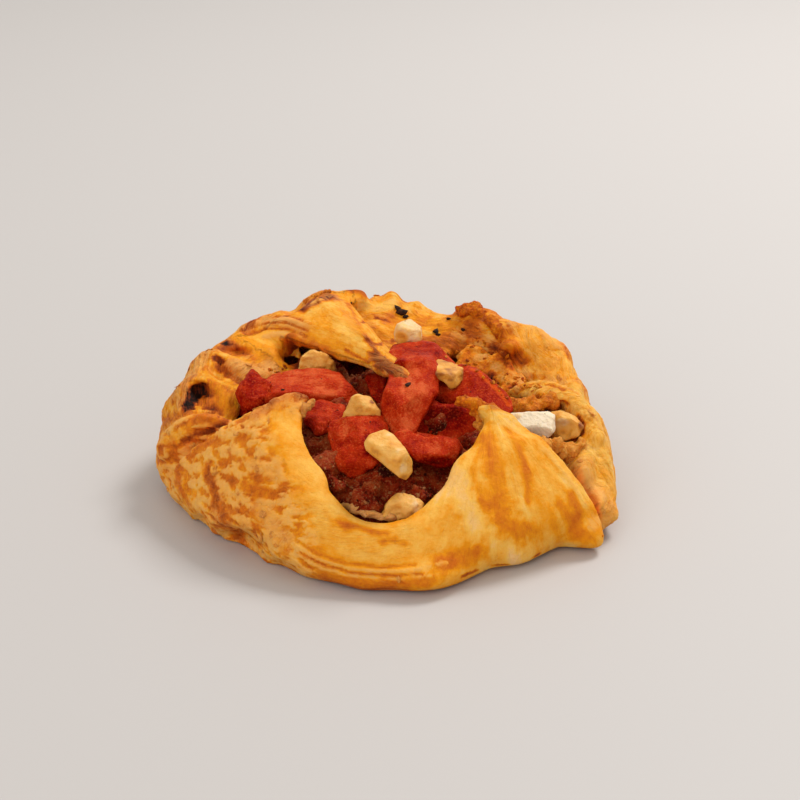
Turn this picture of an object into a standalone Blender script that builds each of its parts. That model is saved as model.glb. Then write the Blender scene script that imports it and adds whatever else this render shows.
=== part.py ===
"""A savoury danish: laminated dough folded over a meat filling, with tomato pieces and cheese cubes on top.

The origin is on the underside, below the middle of the pastry. +Z is up and -Y is the low front of
the rim. The dough is one solid, made of overlapping folds that rise from a flat base. Every fold is
a sheet through a few ribs, and each rib runs from the foot of the wall over a shoulder to the lip.
Azimuth counts from +X towards +Y, in degrees. Tables of places are in millimetres.
"""

import math
import random
from collections import namedtuple

import bmesh
import bpy
import numpy as np
from mathutils import Matrix, Vector, noise

MM = 0.001

# Driving dimensions
DOUGH_THICK = 4.6 * MM
LIP_THICK_SHARE = 0.5
BASE_THICK = 4.0 * MM
BASE_RADIUS = 50.0 * MM
TRIM = 2.0 * MM  # what is cut off below the flat underside
GAP = 0.35 * MM
DOUGH_VOXEL = 0.9 * MM
FILLING_VOXEL = 0.9 * MM
DOUGH_TRIANGLES = 5400
FILLING_TRIANGLES = 2300
TOMATO_TRIANGLES = 200
CHEESE_TRIANGLES = 96
FLAT_ENOUGH = math.radians(4)

FILLING_TOP = 22.5 * MM
FILLING_EDGE = 13.0 * MM
FILLING_RADIUS = 44.0 * MM
MEAT_LUMPS = 150
MEAT_SIZES = (2.0 * MM, 4.2 * MM)
MEAT_INSET = 3.0 * MM
MEAT_STRETCH = (0.75, 1.15)
MEAT_RISE = (-0.6, 0.2)  # a lump's middle above the smooth heap, in its own radii
HEAP_SHAPE = 2.4  # how flat the heap's top is: 2 is a dome
HEAP_OVERLAP = 1.0 * MM  # how far it reaches into the base before it is fitted

# How boxy a piece is, where 2 is an ellipsoid, and the depth and the width of its unevenness.
TOMATO_SQUARENESS = 4.5
TOMATO_UNEVEN = 1.5 * MM
TOMATO_WAVE = 7.0 * MM
CHEESE_SQUARENESS = 4.5
CHEESE_UNEVEN = 0.9 * MM
CHEESE_WAVE = 3.5 * MM

# In the line of a rib, the foot stands in a little, and the belly of the wall bulges out.
FOOT_INSET = 2.0
FOOT_HEIGHT = 1.5
BELLY_OUT = 1.0
BELLY_SHARE = 0.45

# One rib of a fold: the foot's azimuth and radius, the shoulder's azimuth, radius and height, the lip's
# place in x, y and z, and how far the stretch between them arches up.
Rib = namedtuple("Rib", "foot_az foot_r shoulder_az shoulder_r shoulder_z lip arch", defaults=(1.0,))

LEFT_TIP = (-18, -18, 30)
RIGHT_TIP = (26, -21, 29.5)
BACK_TIP = (8, -5, 29.5)

FOLDS = {
    "front": (
        Rib(-175, 51.5, -161, 49.5, 15, LEFT_TIP, 2.5),
        Rib(-156, 49, -150, 43.5, 20, LEFT_TIP, 2.5),
        Rib(-132, 49, -131, 42, 21, (-17.5, -28, 26.5), 1.5),
        Rib(-113, 51, -112, 46, 15, (-12, -37.5, 17.5)),
        Rib(-99, 52.5, -98, 50, 10.5, (-4, -45, 12.5)),
        Rib(-84, 53, -83, 50, 10.5, (5, -45.5, 12.5)),
        Rib(-71, 52, -70, 49, 14, (13.5, -41, 18)),
        Rib(-58, 52, -56, 46, 20, (21, -31.5, 24.5)),
        Rib(-44, 54, -42, 46, 23, RIGHT_TIP, 2.0),
        Rib(-31, 58.5, -33, 53.5, 16, RIGHT_TIP, 3.0),
    ),
    "right": (
        Rib(-42, 52, -38, 48, 9, (32, -22, 12)),
        Rib(-24, 57, -20, 53, 15, (40, -15, 13)),
        Rib(-4, 53.5, -4, 52, 21, (42, -3, 15)),
        Rib(14, 51.5, 14, 50, 23, (39, 9, 18)),
        Rib(34, 51.5, 33, 49.5, 25.5, (34, 21, 20)),
        Rib(52, 52, 51, 48, 29, (26, 29, 21)),
        Rib(68, 52.5, 66, 48, 28.5, (16, 32, 21)),
    ),
    "back": (
        Rib(58, 51, 60, 48, 28, (17, 28, 22)),
        Rib(76, 52, 76, 49.5, 26, (9, 27, 23)),
        Rib(92, 52, 92, 49, 29, (0, 27, 24)),
        Rib(116, 51, 114, 46, 28, (-14, 26, 24)),
    ),
    "back_flap": (
        Rib(141, 51.5, 134, 46, 26, BACK_TIP, 1.0),
        Rib(128, 52, 124, 46.5, 29.5, BACK_TIP, 3.5),
        Rib(115, 52, 113, 45, 32.5, BACK_TIP, 3.0),
        Rib(104, 52, 103, 43.5, 32.5, BACK_TIP, -1.0),
    ),
    "left": (
        Rib(128, 50.5, 128, 45, 25, (-17, 21, 22.5)),
        Rib(143, 52, 143, 48.5, 25, (-26, 18, 21)),
        Rib(156, 53, 156, 49.5, 24, (-32, 12, 20)),
        Rib(170, 53.5, 170, 49, 23, (-35, 4, 19)),
        Rib(184, 53, 183, 49, 18, (-36, -4, 17)),
        Rib(198, 50, 196, 45, 13, (-35, -12, 15)),
    ),
}

# Rolled pleats of dough on the rim: the line each follows, and its radius at the start and at the end.
ROLLS = {
    "left_low": (((-51, -6, 13), (-46, -9, 18.5), (-38, -12, 20.5)), 4.6, 3.6),
    "left_middle": (((-51.5, 8, 16), (-46.5, 8, 23), (-37, 6, 21)), 4.0, 2.6),
    "left_high": (((-48, 19, 20), (-43, 19, 26), (-31, 16, 22)), 3.6, 2.6),
    "back_rope": (((-44, 24, 23.5), (-36, 34.5, 26.5), (-25, 40.5, 29.5), (-15, 45, 32), (-6, 44, 33)), 3.2, 3.2),
    "right_curl": (((30, 7, 18), (35, 6.5, 22.5), (42, 3.5, 24), (48, -2, 23), (51, -13, 19)), 2.2, 3.4),
}

# Rounded blobs of baked cheese and blistered dough on the rim: the place and the radius.
BLOBS = (
    ((24, 41, 29.5), 4.0),
    ((28.5, 38, 29), 3.8),
    ((32.5, 32.5, 28.5), 3.6),
    ((33, 25, 26), 3.4),
    ((-15, 43, 32.5), 4.2),
    ((-6, 44, 33), 2.8),
    ((2, 48, 29.5), 3.2),
    ((8, 47, 28), 2.6),
    ((42, -33, 3), 3.0),
)

# Pits between the pleats: the place and the three half sizes.
PITS = (
    ((-45, 1, 25.5), (3.6, 3.4, 5.0)),
    ((-41, 13, 26.5), (3.2, 2.6, 4.0)),
    ((-38, 24, 28), (4.5, 2.4, 3.5)),
    ((-24, 25, 25), (2.2, 3.0, 3.5)),
)

# Tomato pieces: the place, the three full sizes, the turn about Z, the tilt about X and about Y, in
# degrees, how far the ends bend down, and how much narrower the +X end is than the middle.
Tomato = namedtuple("Tomato", "place size turn tilt_x tilt_y bend taper")
TOMATOES = {
    "tomato_middle": Tomato((8.0, -8, 27.5), (40, 14, 8.5), -97, 0, 7, 4.5, 0.25),
    "tomato_left": Tomato((-17.5, 2, 25.5), (25, 18, 7), -5, 9, 4, 2.5, 0.1),
    "tomato_right": Tomato((26, 0, 25), (27, 16, 8), -38, 14, 8, 3.0, 0.35),
    "tomato_hollow": Tomato((19.5, -21, 23), (21, 17, 10), 12, 16, 0, 2.0, 0.1),
    "tomato_front": Tomato((-4.5, -23.5, 22), (15, 18, 9), 14, 22, -4, 1.0, -0.15),
    "tomato_behind": Tomato((0, 7, 23), (11, 13, 8), -40, 6, 10, 1.0, 0.0),
    "tomato_back": Tomato((13, 15, 26.5), (21, 13, 8), -8, 8, 4, 2.0, 0.1),
    "tomato_bit_left": Tomato((-32, 4, 21), (12, 13, 10), 30, 0, -8, 1.0, 0.1),
    "tomato_bit_front": Tomato((-13.5, -13, 22.5), (9, 9, 7), 35, 6, 0, 0.5, 0.0),
}
HOLLOW_PLACE = (20.5, -19, 30)
HOLLOW_SIZE = (6.5, 5.5, 6.5)

# Cheese cubes and crumbs: the place, the three full sizes, the turn about Z and the tilt about Y.
Cheese = namedtuple("Cheese", "place size turn tilt")
CHEESES = {
    "cheese_back": Cheese((6.5, 18.5, 31.5), (7.5, 7, 7), 20, 8),
    "cheese_top": Cheese((15.5, 1, 31.5), (9, 7.5, 5.5), 20, -10),
    "cheese_middle": Cheese((-4.0, -12, 27.5), (8, 7, 6.5), 10, 6),
    "cheese_front": Cheese((2, -35, 25), (12.5, 7.0, 7), -48, 10),
    "cheese_right": Cheese((35.5, -14, 22), (12.5, 7.5, 6.5), -6, 0),
    "cheese_low": Cheese((5, -40, 14), (10, 6.0, 5.0), 8, 4),
    "cheese_left": Cheese((-15, 16, 25.5), (10, 7, 6), -10, 0),
    "cheese_pocket": Cheese((45, -9, 16.5), (9, 8, 4.5), 30, 12),
}

# The linear colour and the roughness of each material.
FINISHES = {
    "baked dough": ((0.72, 0.38, 0.10), 0.5),
    "minced meat": ((0.16, 0.03, 0.015), 0.6),
    "cooked tomato": ((0.50, 0.05, 0.02), 0.3),
    "white cheese": ((0.80, 0.62, 0.36), 0.5),
}


def at(azimuth, radius, height):
    """A point given by its azimuth in degrees and two lengths in millimetres, in metres."""
    turn = math.radians(azimuth)
    return np.array((radius * math.cos(turn), radius * math.sin(turn), height)) * MM


def metres(lengths):
    """A place or a size given in millimetres."""
    return Vector(lengths) * MM


def spline(points, share):
    """The place at share, from 0 to 1, on a smooth curve through the points."""
    points = np.asarray(points, float)
    padded = np.vstack((2 * points[0] - points[1], points, 2 * points[-1] - points[-2]))
    along = min(max(share, 0.0), 1.0) * (len(points) - 1)
    first = min(int(along), len(points) - 2)
    t = along - first
    a, b, c, d = padded[first : first + 4]
    bend = (2 * a - 5 * b + 4 * c - d) * t**2 + (3 * b - a - 3 * c + d) * t**3
    return 0.5 * (2 * b + (c - a) * t + bend)


def mesh_object(name, fill, collection):
    """An object whose mesh is made by a function that fills a bmesh."""
    shape = bmesh.new()
    fill(shape)
    mesh = bpy.data.meshes.new(name)
    shape.to_mesh(mesh)
    shape.free()
    made = bpy.data.objects.new(name, mesh)
    collection.objects.link(made)
    return made


def apply_modifiers(thing):
    """Makes the evaluated shape the object's own mesh."""
    graph = bpy.context.evaluated_depsgraph_get()
    graph.update()
    mesh = bpy.data.meshes.new_from_object(thing.evaluated_get(graph))
    thing.modifiers.clear()
    thing.data = mesh


def keep_largest(thing):
    """Drops loose scraps and the skins of sealed hollows, and turns every face outwards."""
    shape = bmesh.new()
    shape.from_mesh(thing.data)
    unseen = set(shape.verts)
    groups = []
    while unseen:
        stack = [unseen.pop()]
        group = []
        while stack:
            vertex = stack.pop()
            group.append(vertex)
            for edge in vertex.link_edges:
                other = edge.other_vert(vertex)
                if other in unseen:
                    unseen.remove(other)
                    stack.append(other)
        groups.append(group)
    groups.sort(key=len)
    scraps = [vertex for group in groups[:-1] for vertex in group]
    bmesh.ops.delete(shape, geom=scraps, context="VERTS")
    bmesh.ops.recalc_face_normals(shape, faces=shape.faces)
    shape.to_mesh(thing.data)
    shape.free()


def rib_points(rib):
    """The rib's line from the foot, out over the belly and the shoulder, to the lip."""
    foot = at(rib.foot_az, rib.foot_r - FOOT_INSET, FOOT_HEIGHT)
    belly_az = (1 - BELLY_SHARE) * rib.foot_az + BELLY_SHARE * rib.shoulder_az
    belly = at(belly_az, max(rib.foot_r, rib.shoulder_r) + BELLY_OUT, BELLY_SHARE * rib.shoulder_z)
    shoulder = at(rib.shoulder_az, rib.shoulder_r, rib.shoulder_z)
    lip = np.array(rib.lip) * MM
    middle = 0.5 * (shoulder + lip) + np.array((0, 0, rib.arch * MM))
    return (foot, belly, shoulder, middle, lip)


def fold(name, ribs, collection, across=44, along=26):
    """A sheet of dough through the ribs, thick at its foot and thinner at its lip."""
    lines = [rib_points(rib) for rib in ribs]

    def fill(shape):
        bmesh.ops.create_grid(shape, x_segments=across, y_segments=along, size=1)
        for vertex in shape.verts:
            u, w = (vertex.co.x + 1) / 2, (vertex.co.y + 1) / 2
            vertex.co = spline([spline(line, w) for line in lines], u)

    sheet = mesh_object(name, fill, collection)
    dough = sheet.vertex_groups.new(name="dough")
    for vertex in sheet.data.vertices:
        row = vertex.index // (across + 1)
        dough.add([vertex.index], 1.0 - (row / along) ** 2, "REPLACE")
    thick = sheet.modifiers.new("thickness", "SOLIDIFY")
    thick.thickness = DOUGH_THICK
    thick.offset = 0
    thick.vertex_group = "dough"
    thick.thickness_vertex_group = LIP_THICK_SHARE
    apply_modifiers(sheet)
    keep_largest(sheet)
    return sheet


def roll(name, points, start_radius, end_radius, collection, steps=18):
    """A rolled pleat: a round ended rope of dough along a smooth line."""
    for step in range(steps + 1):
        share = step / steps
        radius = (start_radius + (end_radius - start_radius) * share) * MM
        ball(f"{name}_{step}", spline(points, share) * MM, (radius,) * 3, collection)


def ball(name, centre, half_sizes, collection, fineness=3):
    """A closed ball stretched to the half sizes."""
    stretch = Matrix.Translation(Vector(centre)) @ Matrix.Diagonal((*half_sizes, 1.0))

    def fill(shape):
        bmesh.ops.create_icosphere(shape, subdivisions=fineness, radius=1.0, matrix=stretch)

    return mesh_object(name, fill, collection)


def join_all(thing, collection, operation="UNION"):
    """One Boolean of the object with everything in the collection, whose objects are then removed."""
    cut = thing.modifiers.new("fuse", "BOOLEAN")
    cut.operation = operation
    cut.operand_type = "COLLECTION"
    cut.collection = collection
    cut.solver = "MANIFOLD"
    apply_modifiers(thing)
    for helper in list(collection.objects):
        bpy.data.objects.remove(helper)


def knead(thing, voxel, triangles, smooth=4):
    """Melts the joins of a fused shape together, then thins it to about so many triangles."""
    remesh = thing.modifiers.new("melt", "REMESH")
    remesh.mode = "VOXEL"
    remesh.voxel_size = voxel
    soften = thing.modifiers.new("soften", "SMOOTH")
    soften.factor = 0.5
    soften.iterations = smooth
    apply_modifiers(thing)
    keep_largest(thing)
    thin(thing, triangles)


def thin(thing, triangles):
    """Thins a mesh to about so many triangles."""
    count = sum(len(face.vertices) - 2 for face in thing.data.polygons)
    if count > triangles:
        fewer = thing.modifiers.new("thin", "DECIMATE")
        fewer.ratio = triangles / count
        apply_modifiers(thing)


def simplify(thing):
    """Takes out the edges between faces that lie in almost one plane."""
    flatter = thing.modifiers.new("simplify", "DECIMATE")
    flatter.decimate_type = "DISSOLVE"
    flatter.angle_limit = FLAT_ENOUGH
    thing.modifiers.new("triangles", "TRIANGULATE")
    apply_modifiers(thing)


def cut_flat(thing, height):
    """Cuts off what lies below the height and closes the shape with one flat face."""
    shape = bmesh.new()
    shape.from_mesh(thing.data)
    geometry = shape.verts[:] + shape.edges[:] + shape.faces[:]
    bmesh.ops.bisect_plane(
        shape, geom=geometry, plane_co=(0, 0, height), plane_no=(0, 0, 1), clear_inner=True
    )
    rim = [edge for edge in shape.edges if edge.is_boundary]
    bmesh.ops.holes_fill(shape, edges=rim)
    bmesh.ops.triangulate(shape, faces=shape.faces)
    bmesh.ops.recalc_face_normals(shape, faces=shape.faces)
    shape.to_mesh(thing.data)
    shape.free()


def grown(thing, collection, amount=GAP):
    """A copy of the object, grown all over by the gap that neighbours keep."""
    copy = thing.copy()
    copy.data = thing.data.copy()
    copy.name = thing.name + "_grown"
    collection.objects.link(copy)
    swell = copy.modifiers.new("swell", "DISPLACE")
    swell.strength = amount
    swell.mid_level = 0
    apply_modifiers(copy)
    return copy


def box_of(thing):
    """The lowest and the highest corner of the object."""
    corners = np.array([vertex.co for vertex in thing.data.vertices])
    return corners.min(0), corners.max(0)


def fit_clear(thing, neighbours, cutters):
    """Cuts the object back so that it keeps the gap to the neighbours that it lies on."""
    for neighbour in neighbours:
        low, high = box_of(thing)
        other_low, other_high = box_of(neighbour)
        if (low > other_high + GAP).any() or (other_low > high + GAP).any():
            continue
        cutter = grown(neighbour, cutters)
        cut = thing.modifiers.new("fit", "BOOLEAN")
        cut.operation = "DIFFERENCE"
        cut.object = cutter
        cut.solver = "MANIFOLD"
        apply_modifiers(thing)
        bpy.data.objects.remove(cutter)
        keep_largest(thing)
    simplify(thing)


def rough(thing, amount, size, seed):
    """Moves each vertex along its normal by smooth noise of that size."""
    shape = bmesh.new()
    shape.from_mesh(thing.data)
    shape.normal_update()
    shift = Vector((seed * 3.1, seed * 1.7, seed * 2.3))
    moves = [vertex.normal * (noise.noise(vertex.co / size + shift) * amount) for vertex in shape.verts]
    for vertex, move in zip(shape.verts, moves):
        vertex.co += move
    shape.to_mesh(thing.data)
    shape.free()


def make_dough(parts, helpers):
    """The base, the folds, the pleats and the blisters as one solid with a flat underside."""

    def fill_base(shape):
        bmesh.ops.create_cone(
            shape,
            cap_ends=True,
            segments=96,
            radius1=BASE_RADIUS,
            radius2=BASE_RADIUS,
            depth=BASE_THICK + TRIM,
            matrix=Matrix.Translation((0, 0, (BASE_THICK - TRIM) / 2)),
        )

    dough = mesh_object("pastry", fill_base, parts)
    for name, ribs in FOLDS.items():
        fold(name, ribs, helpers)
    for name, (points, start_radius, end_radius) in ROLLS.items():
        roll(name, points, start_radius, end_radius, helpers)
    for number, (point, radius) in enumerate(BLOBS):
        ball(f"blob_{number}", metres(point), (radius * MM,) * 3, helpers)
    join_all(dough, helpers)
    for number, (point, half_sizes) in enumerate(PITS):
        ball(f"pit_{number}", metres(point), metres(half_sizes), helpers)
    join_all(dough, helpers, "DIFFERENCE")
    knead(dough, DOUGH_VOXEL, DOUGH_TRIANGLES)
    cut_flat(dough, 0.0)
    return dough


def filling_height(x, y):
    """How high the smooth heap stands at a place."""
    radius = math.hypot(x, y) / FILLING_RADIUS
    return FILLING_EDGE + (FILLING_TOP - FILLING_EDGE) * max(0.0, 1.0 - radius**HEAP_SHAPE)


def make_filling(parts, helpers, dough):
    """The heap of minced meat, fitted into the dough."""
    low = BASE_THICK - HEAP_OVERLAP
    middle = (low + FILLING_EDGE) / 2

    def fill_heap(shape):
        bmesh.ops.create_uvsphere(shape, u_segments=48, v_segments=24, radius=1.0)
        for vertex in shape.verts:
            x, y, z = vertex.co
            radius = math.hypot(x, y)
            # the points near the sphere's axis move out, which makes its side steeper
            wider = FILLING_RADIUS * radius**0.6 / max(radius, 1e-6)
            vertex.co.x, vertex.co.y = x * wider, y * wider
            top = filling_height(vertex.co.x, vertex.co.y)
            vertex.co.z = middle + z * ((top - middle) if z > 0 else (middle - low))

    heap = mesh_object("filling", fill_heap, parts)
    dice = random.Random(7)
    golden = math.pi * (3 - math.sqrt(5))
    for number in range(MEAT_LUMPS):
        radius = (FILLING_RADIUS - MEAT_INSET) * math.sqrt((number + 0.5) / MEAT_LUMPS)
        turn = number * golden + dice.uniform(-0.3, 0.3)
        x, y = radius * math.cos(turn), radius * math.sin(turn)
        size = dice.uniform(*MEAT_SIZES)
        height = filling_height(x, y) + dice.uniform(*MEAT_RISE) * size
        half_sizes = [size * dice.uniform(*MEAT_STRETCH) for _ in range(3)]
        ball(f"meat_{number}", (x, y, height), half_sizes, helpers, fineness=2)
    join_all(heap, helpers)
    knead(heap, FILLING_VOXEL, FILLING_TRIANGLES, smooth=2)
    fit_clear(heap, [dough], helpers)
    return heap


def soft_box(name, size, squareness, parts, cuts=10):
    """A box with rounded sides: a cube primitive whose points are drawn onto a superellipsoid."""

    def fill(shape):
        bmesh.ops.create_cube(shape, size=2.0)
        bmesh.ops.subdivide_edges(shape, edges=shape.edges, cuts=cuts, use_grid_fill=True)
        for vertex in shape.verts:
            reach = sum(abs(c) ** squareness for c in vertex.co) ** (1 / squareness)
            vertex.co = Vector(c / reach * half for c, half in zip(vertex.co, half_sizes))

    half_sizes = [length * MM / 2 for length in size]
    return mesh_object(name, fill, parts)


def set_down(thing, point, turn, tilt_x, tilt_y):
    """Turns a shape about its middle and puts it in its place."""
    lean = Matrix.Rotation(math.radians(tilt_x), 4, "X") @ Matrix.Rotation(math.radians(tilt_y), 4, "Y")
    spin = Matrix.Rotation(math.radians(turn), 4, "Z")
    thing.data.transform(Matrix.Translation(metres(point)) @ spin @ lean)


def make_tomato(number, name, tomato, parts, helpers, neighbours):
    """A softened piece of tomato: a flat wedge that droops at its ends."""
    piece = soft_box(name, tomato.size, TOMATO_SQUARENESS, parts)
    half_length = tomato.size[0] * MM / 2
    for vertex in piece.data.vertices:
        along = vertex.co.x / half_length
        vertex.co.y *= 1 - tomato.taper * along
        vertex.co.z -= tomato.bend * MM * along**2
    rough(piece, TOMATO_UNEVEN, TOMATO_WAVE, number + 1)
    set_down(piece, tomato.place, tomato.turn, tomato.tilt_x, tomato.tilt_y)
    if name == "tomato_hollow":
        ball("hollow", metres(HOLLOW_PLACE), metres(HOLLOW_SIZE), helpers)
        join_all(piece, helpers, "DIFFERENCE")
    thin(piece, TOMATO_TRIANGLES)
    fit_clear(piece, neighbours, helpers)
    return piece


def make_cheese(number, name, cheese, parts, helpers, neighbours):
    """A crumbly cube of cheese with soft edges."""
    piece = soft_box(name, cheese.size, CHEESE_SQUARENESS, parts, cuts=7)
    rough(piece, CHEESE_UNEVEN, CHEESE_WAVE, number + 20)
    set_down(piece, cheese.place, cheese.turn, 0, cheese.tilt)
    thin(piece, CHEESE_TRIANGLES)
    fit_clear(piece, neighbours, helpers)
    return piece


def paint(thing, name):
    """Gives the object its material."""
    colour, roughness = FINISHES[name]
    material = bpy.data.materials.get(name) or bpy.data.materials.new(name)
    material.use_nodes = True
    shader = material.node_tree.nodes["Principled BSDF"]
    shader.inputs["Base Color"].default_value = (*colour, 1.0)
    shader.inputs["Roughness"].default_value = roughness
    shader.inputs["Metallic"].default_value = 0.0
    thing.data.materials.clear()
    thing.data.materials.append(material)


def centre_all(parts):
    """Moves the parts so that the middle of the whole lies over the origin."""
    boxes = [box_of(thing) for thing in parts.objects]
    middle = (np.min([low for low, _ in boxes], 0) + np.max([high for _, high in boxes], 0)) / 2
    for thing in parts.objects:
        thing.data.transform(Matrix.Translation((-middle[0], -middle[1], 0)))


def main():
    for old in list(bpy.data.objects):
        bpy.data.objects.remove(old)
    parts = bpy.data.collections.new("savoury_danish")
    helpers = bpy.data.collections.new("helpers")
    bpy.context.scene.collection.children.link(parts)
    bpy.context.scene.collection.children.link(helpers)

    dough = make_dough(parts, helpers)
    paint(dough, "baked dough")
    filling = make_filling(parts, helpers, dough)
    paint(filling, "minced meat")
    placed = [dough, filling]
    for number, (name, tomato) in enumerate(TOMATOES.items()):
        piece = make_tomato(number, name, tomato, parts, helpers, placed)
        paint(piece, "cooked tomato")
        placed.append(piece)
    for number, (name, cheese) in enumerate(CHEESES.items()):
        piece = make_cheese(number, name, cheese, parts, helpers, placed)
        paint(piece, "white cheese")
        placed.append(piece)
    bpy.data.collections.remove(helpers)
    centre_all(parts)


main()
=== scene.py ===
"""A baked savoury danish: flaky crust, minced meat, cooked tomato, toasted cheese and crumbs.

Every soft piece starts as a fine copy of its construction solid, is softened, and then gets its relief
point by point. Places are worked out in millimetres; the scene itself is in metres, with +Z up and the
low front of the pastry towards -Y. Marks on the crust are placed by pixel of an 800 by 800 picture taken
by the scene's own camera, and always lie on the surface that the pixel's line of sight meets first.
"""

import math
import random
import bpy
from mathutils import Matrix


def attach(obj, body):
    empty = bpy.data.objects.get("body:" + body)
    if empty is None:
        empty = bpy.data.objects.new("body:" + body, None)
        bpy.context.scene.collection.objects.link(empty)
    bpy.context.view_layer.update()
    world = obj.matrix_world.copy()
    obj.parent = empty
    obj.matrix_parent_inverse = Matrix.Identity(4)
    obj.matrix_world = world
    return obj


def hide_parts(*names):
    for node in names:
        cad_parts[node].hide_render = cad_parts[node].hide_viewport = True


bl_info = {
    "name": "Savoury danish",
    "version": (1, 0, 0),
    "blender": (4, 5, 0),
    "location": "View3D > Sidebar > Danish",
    "description": "Finishes a savoury danish: crust, filling, tomato, cheese, crumbs and the stage",
    "category": "Add Mesh",
}

from collections import namedtuple

import bpy
import numpy as np
from bpy.props import FloatProperty, FloatVectorProperty, IntProperty, PointerProperty
from mathutils import Matrix, Vector, noise
from mathutils.bvhtree import BVHTree

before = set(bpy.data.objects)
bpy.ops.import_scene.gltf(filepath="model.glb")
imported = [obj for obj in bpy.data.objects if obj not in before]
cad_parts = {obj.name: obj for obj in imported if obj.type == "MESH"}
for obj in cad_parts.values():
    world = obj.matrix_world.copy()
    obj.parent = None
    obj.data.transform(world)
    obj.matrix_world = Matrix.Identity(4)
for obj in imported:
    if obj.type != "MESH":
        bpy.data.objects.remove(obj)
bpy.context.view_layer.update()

MM = 0.001
BODY = "root"

# The camera: its place in millimetres, how far it looks down, and its lens on a 36 mm sensor.
CAMERA_PLACE = (4.41, -407.77, 200.06)
CAMERA_DOWN = math.radians(23.44)
CAMERA_LENS = 81.0
CAMERA_SENSOR = 36.0
PICTURE = 800
FOCAL = PICTURE * CAMERA_LENS / CAMERA_SENSOR
RIGHT = np.array((1.0, 0.0, 0.0))
UP = np.array((0.0, math.sin(CAMERA_DOWN), math.cos(CAMERA_DOWN)))
AHEAD = np.array((0.0, math.cos(CAMERA_DOWN), -math.sin(CAMERA_DOWN)))

# The middle of the rim's cross-section, in millimetres: its distance from the axis and its height.
RIM_RADIUS = 44.0
RIM_HEIGHT = 12.0
# Places on the dough, in millimetres: the tips of the three flaps and the middle of the right curl.
LEFT_TIP = np.array((-18.3, -17.8, 30.0))
RIGHT_TIP = np.array((25.7, -20.8, 29.5))
BACK_TIP = np.array((7.7, -4.8, 29.5))
CURL_MIDDLE = np.array((45.0, -9.0, 18.0))
# The ways in which the right flap and the back flap run away from their tips.
RIGHT_RUN = (-0.1, -0.72, -0.68)
BACK_RUN = (-0.5, 0.86, 0.1)
# The seen edge of the front fold from above, and the back flap's three corners.
FRONT_EDGE_X = (-60, -51, -18, 26, 50, 60)
FRONT_EDGE_Y = (-1, -5, -18, -21, -30, -34)
BACK_FLAP_CORNERS = ((7.7, -4.8), (-38, 30), (-9, 45))
# The edge of the front opening, from the left tip down and up to the right tip.
OPENING = (
    (-18.3, -17.8, 30),
    (-17.8, -27.8, 26.5),
    (-12.3, -37.3, 17.5),
    (-4.3, -44.8, 12.5),
    (4.7, -45.3, 12.5),
    (13.2, -40.8, 18),
    (20.7, -31.3, 24.5),
    (25.7, -20.8, 29.5),
)
# The dough in front of this y, in millimetres, shows through the opening.
OPENING_BACK_Y = -36
# How far off a wall may be, in millimetres, to shut in a place on the crust.
HOLLOW_REACH = 12.0
# The directions that are tried for such walls: straight out, and five that lean to the side by so much.
HOLLOW_LEAN = 0.9
HOLLOW_TURNS = (0.3, 1.6, 2.8, 4.1, 5.3)
# The most triangles that the crust's mesh may have.
MOST_TRIANGLES = 196000

# The stage, in metres: the floor's size, and each light's place and size.
FLOOR_SIZE = 12.0
LIGHTS = {"key": ((0.50, 0.55, 0.90), 0.40), "fill": ((-0.50, -0.90, 0.70), 0.90)}

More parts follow.
